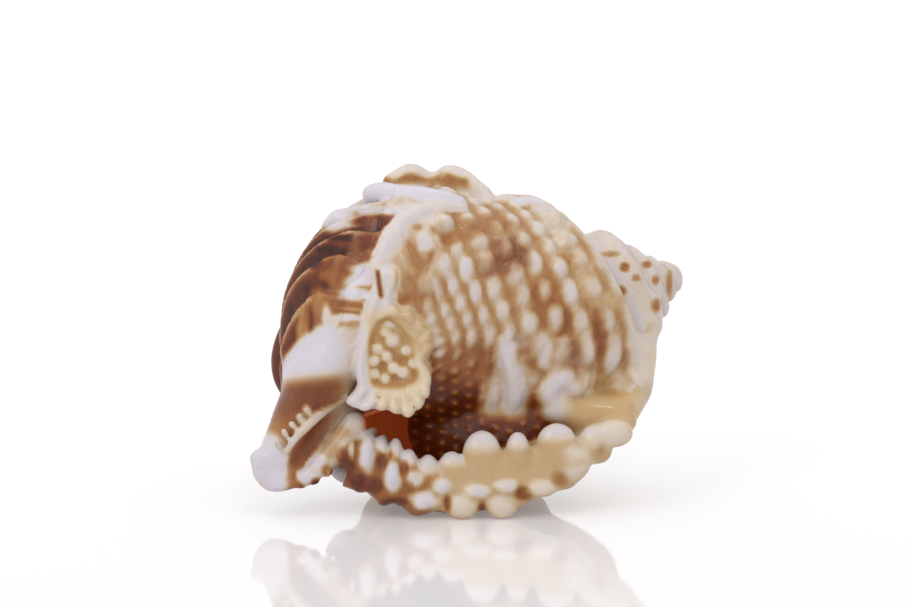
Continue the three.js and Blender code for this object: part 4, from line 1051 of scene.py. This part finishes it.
def skin(field, low, high, step):
    """Closed surface of quads round the field's inside, with one point in each cube that it passes."""
    count = np.ceil((high - low) / (COARSE * step)).astype(int)
    axes = [low[k] + COARSE * step * np.arange(count[k] + 1) for k in range(3)]
    grid = np.stack(np.meshgrid(*axes, indexing="ij"), axis=-1)
    rough = chunks(field, grid.reshape(-1, 3)).reshape(grid.shape[:3])
    near = np.zeros(count, bool)
    for i, j, k in np.ndindex(2, 2, 2):
        near |= np.abs(rough[i:i + count[0], j:j + count[1], k:k + count[2]]) < 1.3 * COARSE * step
    cells = count * COARSE
    mark = np.zeros(cells + 1, bool)
    for i, j, k in COARSE * np.argwhere(near):
        mark[i:i + COARSE + 1, j:j + COARSE + 1, k:k + COARSE + 1] = True
    value = rough.repeat(COARSE, 0).repeat(COARSE, 1).repeat(COARSE, 2)
    value = value[:cells[0] + 1, :cells[1] + 1, :cells[2] + 1]
    value[mark] = chunks(field, low + step * np.argwhere(mark))
    inside = value < 0
    filled = np.zeros(cells, int)
    for i, j, k in np.ndindex(2, 2, 2):
        filled += inside[i:i + cells[0], j:j + cells[1], k:k + cells[2]]
    cell = np.argwhere((filled > 0) & (filled < 8))
    number = np.full(cells, -1)
    number[tuple(cell.T)] = np.arange(len(cell))
    total, hits, quads = np.zeros((len(cell), 3)), np.zeros(len(cell)), []
    for axis in range(3):
        one, side, other = np.roll(np.eye(3, dtype=int), -axis, axis=0)
        for a, b in np.ndindex(2, 2):
            start = cell + a * side + b * other
            v0, v1 = value[tuple(start.T)], value[tuple((start + one).T)]
            cross = (v0 < 0) != (v1 < 0)
            t = v0[cross] / (v0[cross] - v1[cross])
            total[cross] += start[cross] + t[:, None] * one
            hits[cross] += 1
        edge = np.argwhere(np.diff(inside, axis=axis))
        edge = edge[(edge @ side > 0) & (edge @ other > 0) & (edge < cells).all(1)]
        ring = [number[tuple((edge - a * side - b * other).T)] for a, b in ((1, 1), (0, 1), (0, 0), (1, 0))]
        face = np.stack(ring, 1)
        quads.append(np.where(inside[tuple(edge.T)][:, None], face, face[:, ::-1]))
    return low + step * total / hits[:, None], np.concatenate(quads)


def draw_on(field, p, step):
    """Moves points onto the surface along the field's slope."""
    value = chunks(field, p)
    h = 0.3 * step
    slope = np.stack([chunks(field, p + h * e) - value for e in np.eye(3)], 1) / h
    move = value[:, None] * slope / np.maximum((slope**2).sum(1), 0.3)[:, None]
    length = np.sqrt((move**2).sum(1))
    return p - move * np.minimum(1.0, 0.5 * step / np.maximum(length, 1e-9))[:, None]


def largest(p, quads):
    """The largest connected piece."""
    label = np.arange(len(p))
    while True:
        low = label[quads].min(1)
        new = label.copy()
        np.minimum.at(new, quads.ravel(), np.repeat(low, 4))
        new = new[new]
        if (new == label).all():
            break
        label = new
    names, size = np.unique(label, return_counts=True)
    keep = label == names[size.argmax()]
    place = np.cumsum(keep) - 1
    return p[keep], place[quads[keep[quads].all(1)]]


points, quads = largest(*skin(shell, BOX_LOW, BOX_HIGH, GRID_STEP))
points = draw_on(shell, points, GRID_STEP)

mesh = bpy.data.meshes.new("shell_skin")
mesh.from_pydata(((points - ORIGIN) * MILLIMETRE).tolist(), [], quads.tolist())
mesh.polygons.foreach_set("use_smooth", [True] * len(quads))
for name, value in zip(MARKINGS, paint(points)):
    mesh.attributes.new(name, "FLOAT", "POINT").data.foreach_set("value", value.astype(np.float32))
mesh.materials.append(lime)
body = bpy.data.objects.new("shell_skin", mesh)
bpy.context.scene.collection.objects.link(body)
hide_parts("shell")
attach(body, "root")


# The floor and the light. A wide glossy white floor, a bright white band all round at its height, and
# lamps above, at the left front and, very small, at the right front, which makes the glints.
floor_mesh = bpy.data.meshes.new("floor")
floor_mesh.from_pydata([(-4, -4, 0), (4, -4, 0), (4, 4, 0), (-4, 4, 0)], [], [(0, 1, 2, 3)])
floor = bpy.data.objects.new("floor", floor_mesh)
bpy.context.scene.collection.objects.link(floor)
gloss_white = bpy.data.materials.new("floor_white")
gloss_white.use_nodes = True
nodes = gloss_white.node_tree
for name, value in (("Base Color", (0.66, 0.65, 0.665, 1)), ("Roughness", 0.06),
                    ("Emission Color", (1.0, 0.97, 0.98, 1)), ("Emission Strength", 0.2)):
    give(nodes, nodes.nodes["Principled BSDF"].inputs[name], value)
floor_mesh.materials.append(gloss_white)


def soft_light(name, at, aim, size, watts):
    lamp = bpy.data.lights.new(name, "AREA")
    lamp.shape = "RECTANGLE"
    lamp.size, lamp.size_y = size
    lamp.energy = watts
    holder = bpy.data.objects.new(name, lamp)
    holder.location = at
    holder.rotation_euler = (Vector(aim) - Vector(at)).to_track_quat("-Z", "Y").to_euler()
    bpy.context.scene.collection.objects.link(holder)


AIM = (0, 0, 0.02)
soft_light("top_softbox", (0.0, 0.0, 0.6), AIM, (1.0, 1.0), 2.4)
soft_light("front_softbox", (-0.35, -0.45, 0.35), AIM, (0.25, 0.25), 0.8)
soft_light("small_lamp", (0.12, -0.3, 0.5), AIM, (0.04, 0.04), 0.15)
world = bpy.data.worlds.new("studio")
world.use_nodes = True
sky = world.node_tree
around = sky.nodes.new("ShaderNodeTexCoord").outputs["Generated"]
direction = add(sky, "ShaderNodeSeparateXYZ", Vector=around)
brightness = sky.nodes.new("ShaderNodeMapRange")
for name, value in (("Value", direction.outputs["Z"]), ("From Min", 0.15), ("From Max", 0.5),
                    ("To Min", 1.1), ("To Max", 0.55)):
    give(sky, brightness.inputs[name], value)
give(sky, sky.nodes["Background"].inputs["Strength"], brightness.outputs["Result"])
give(sky, sky.nodes["Background"].inputs["Color"], (1, 1, 1, 1))
bpy.context.scene.world = world
bpy.context.scene.view_settings.view_transform = "Standard"
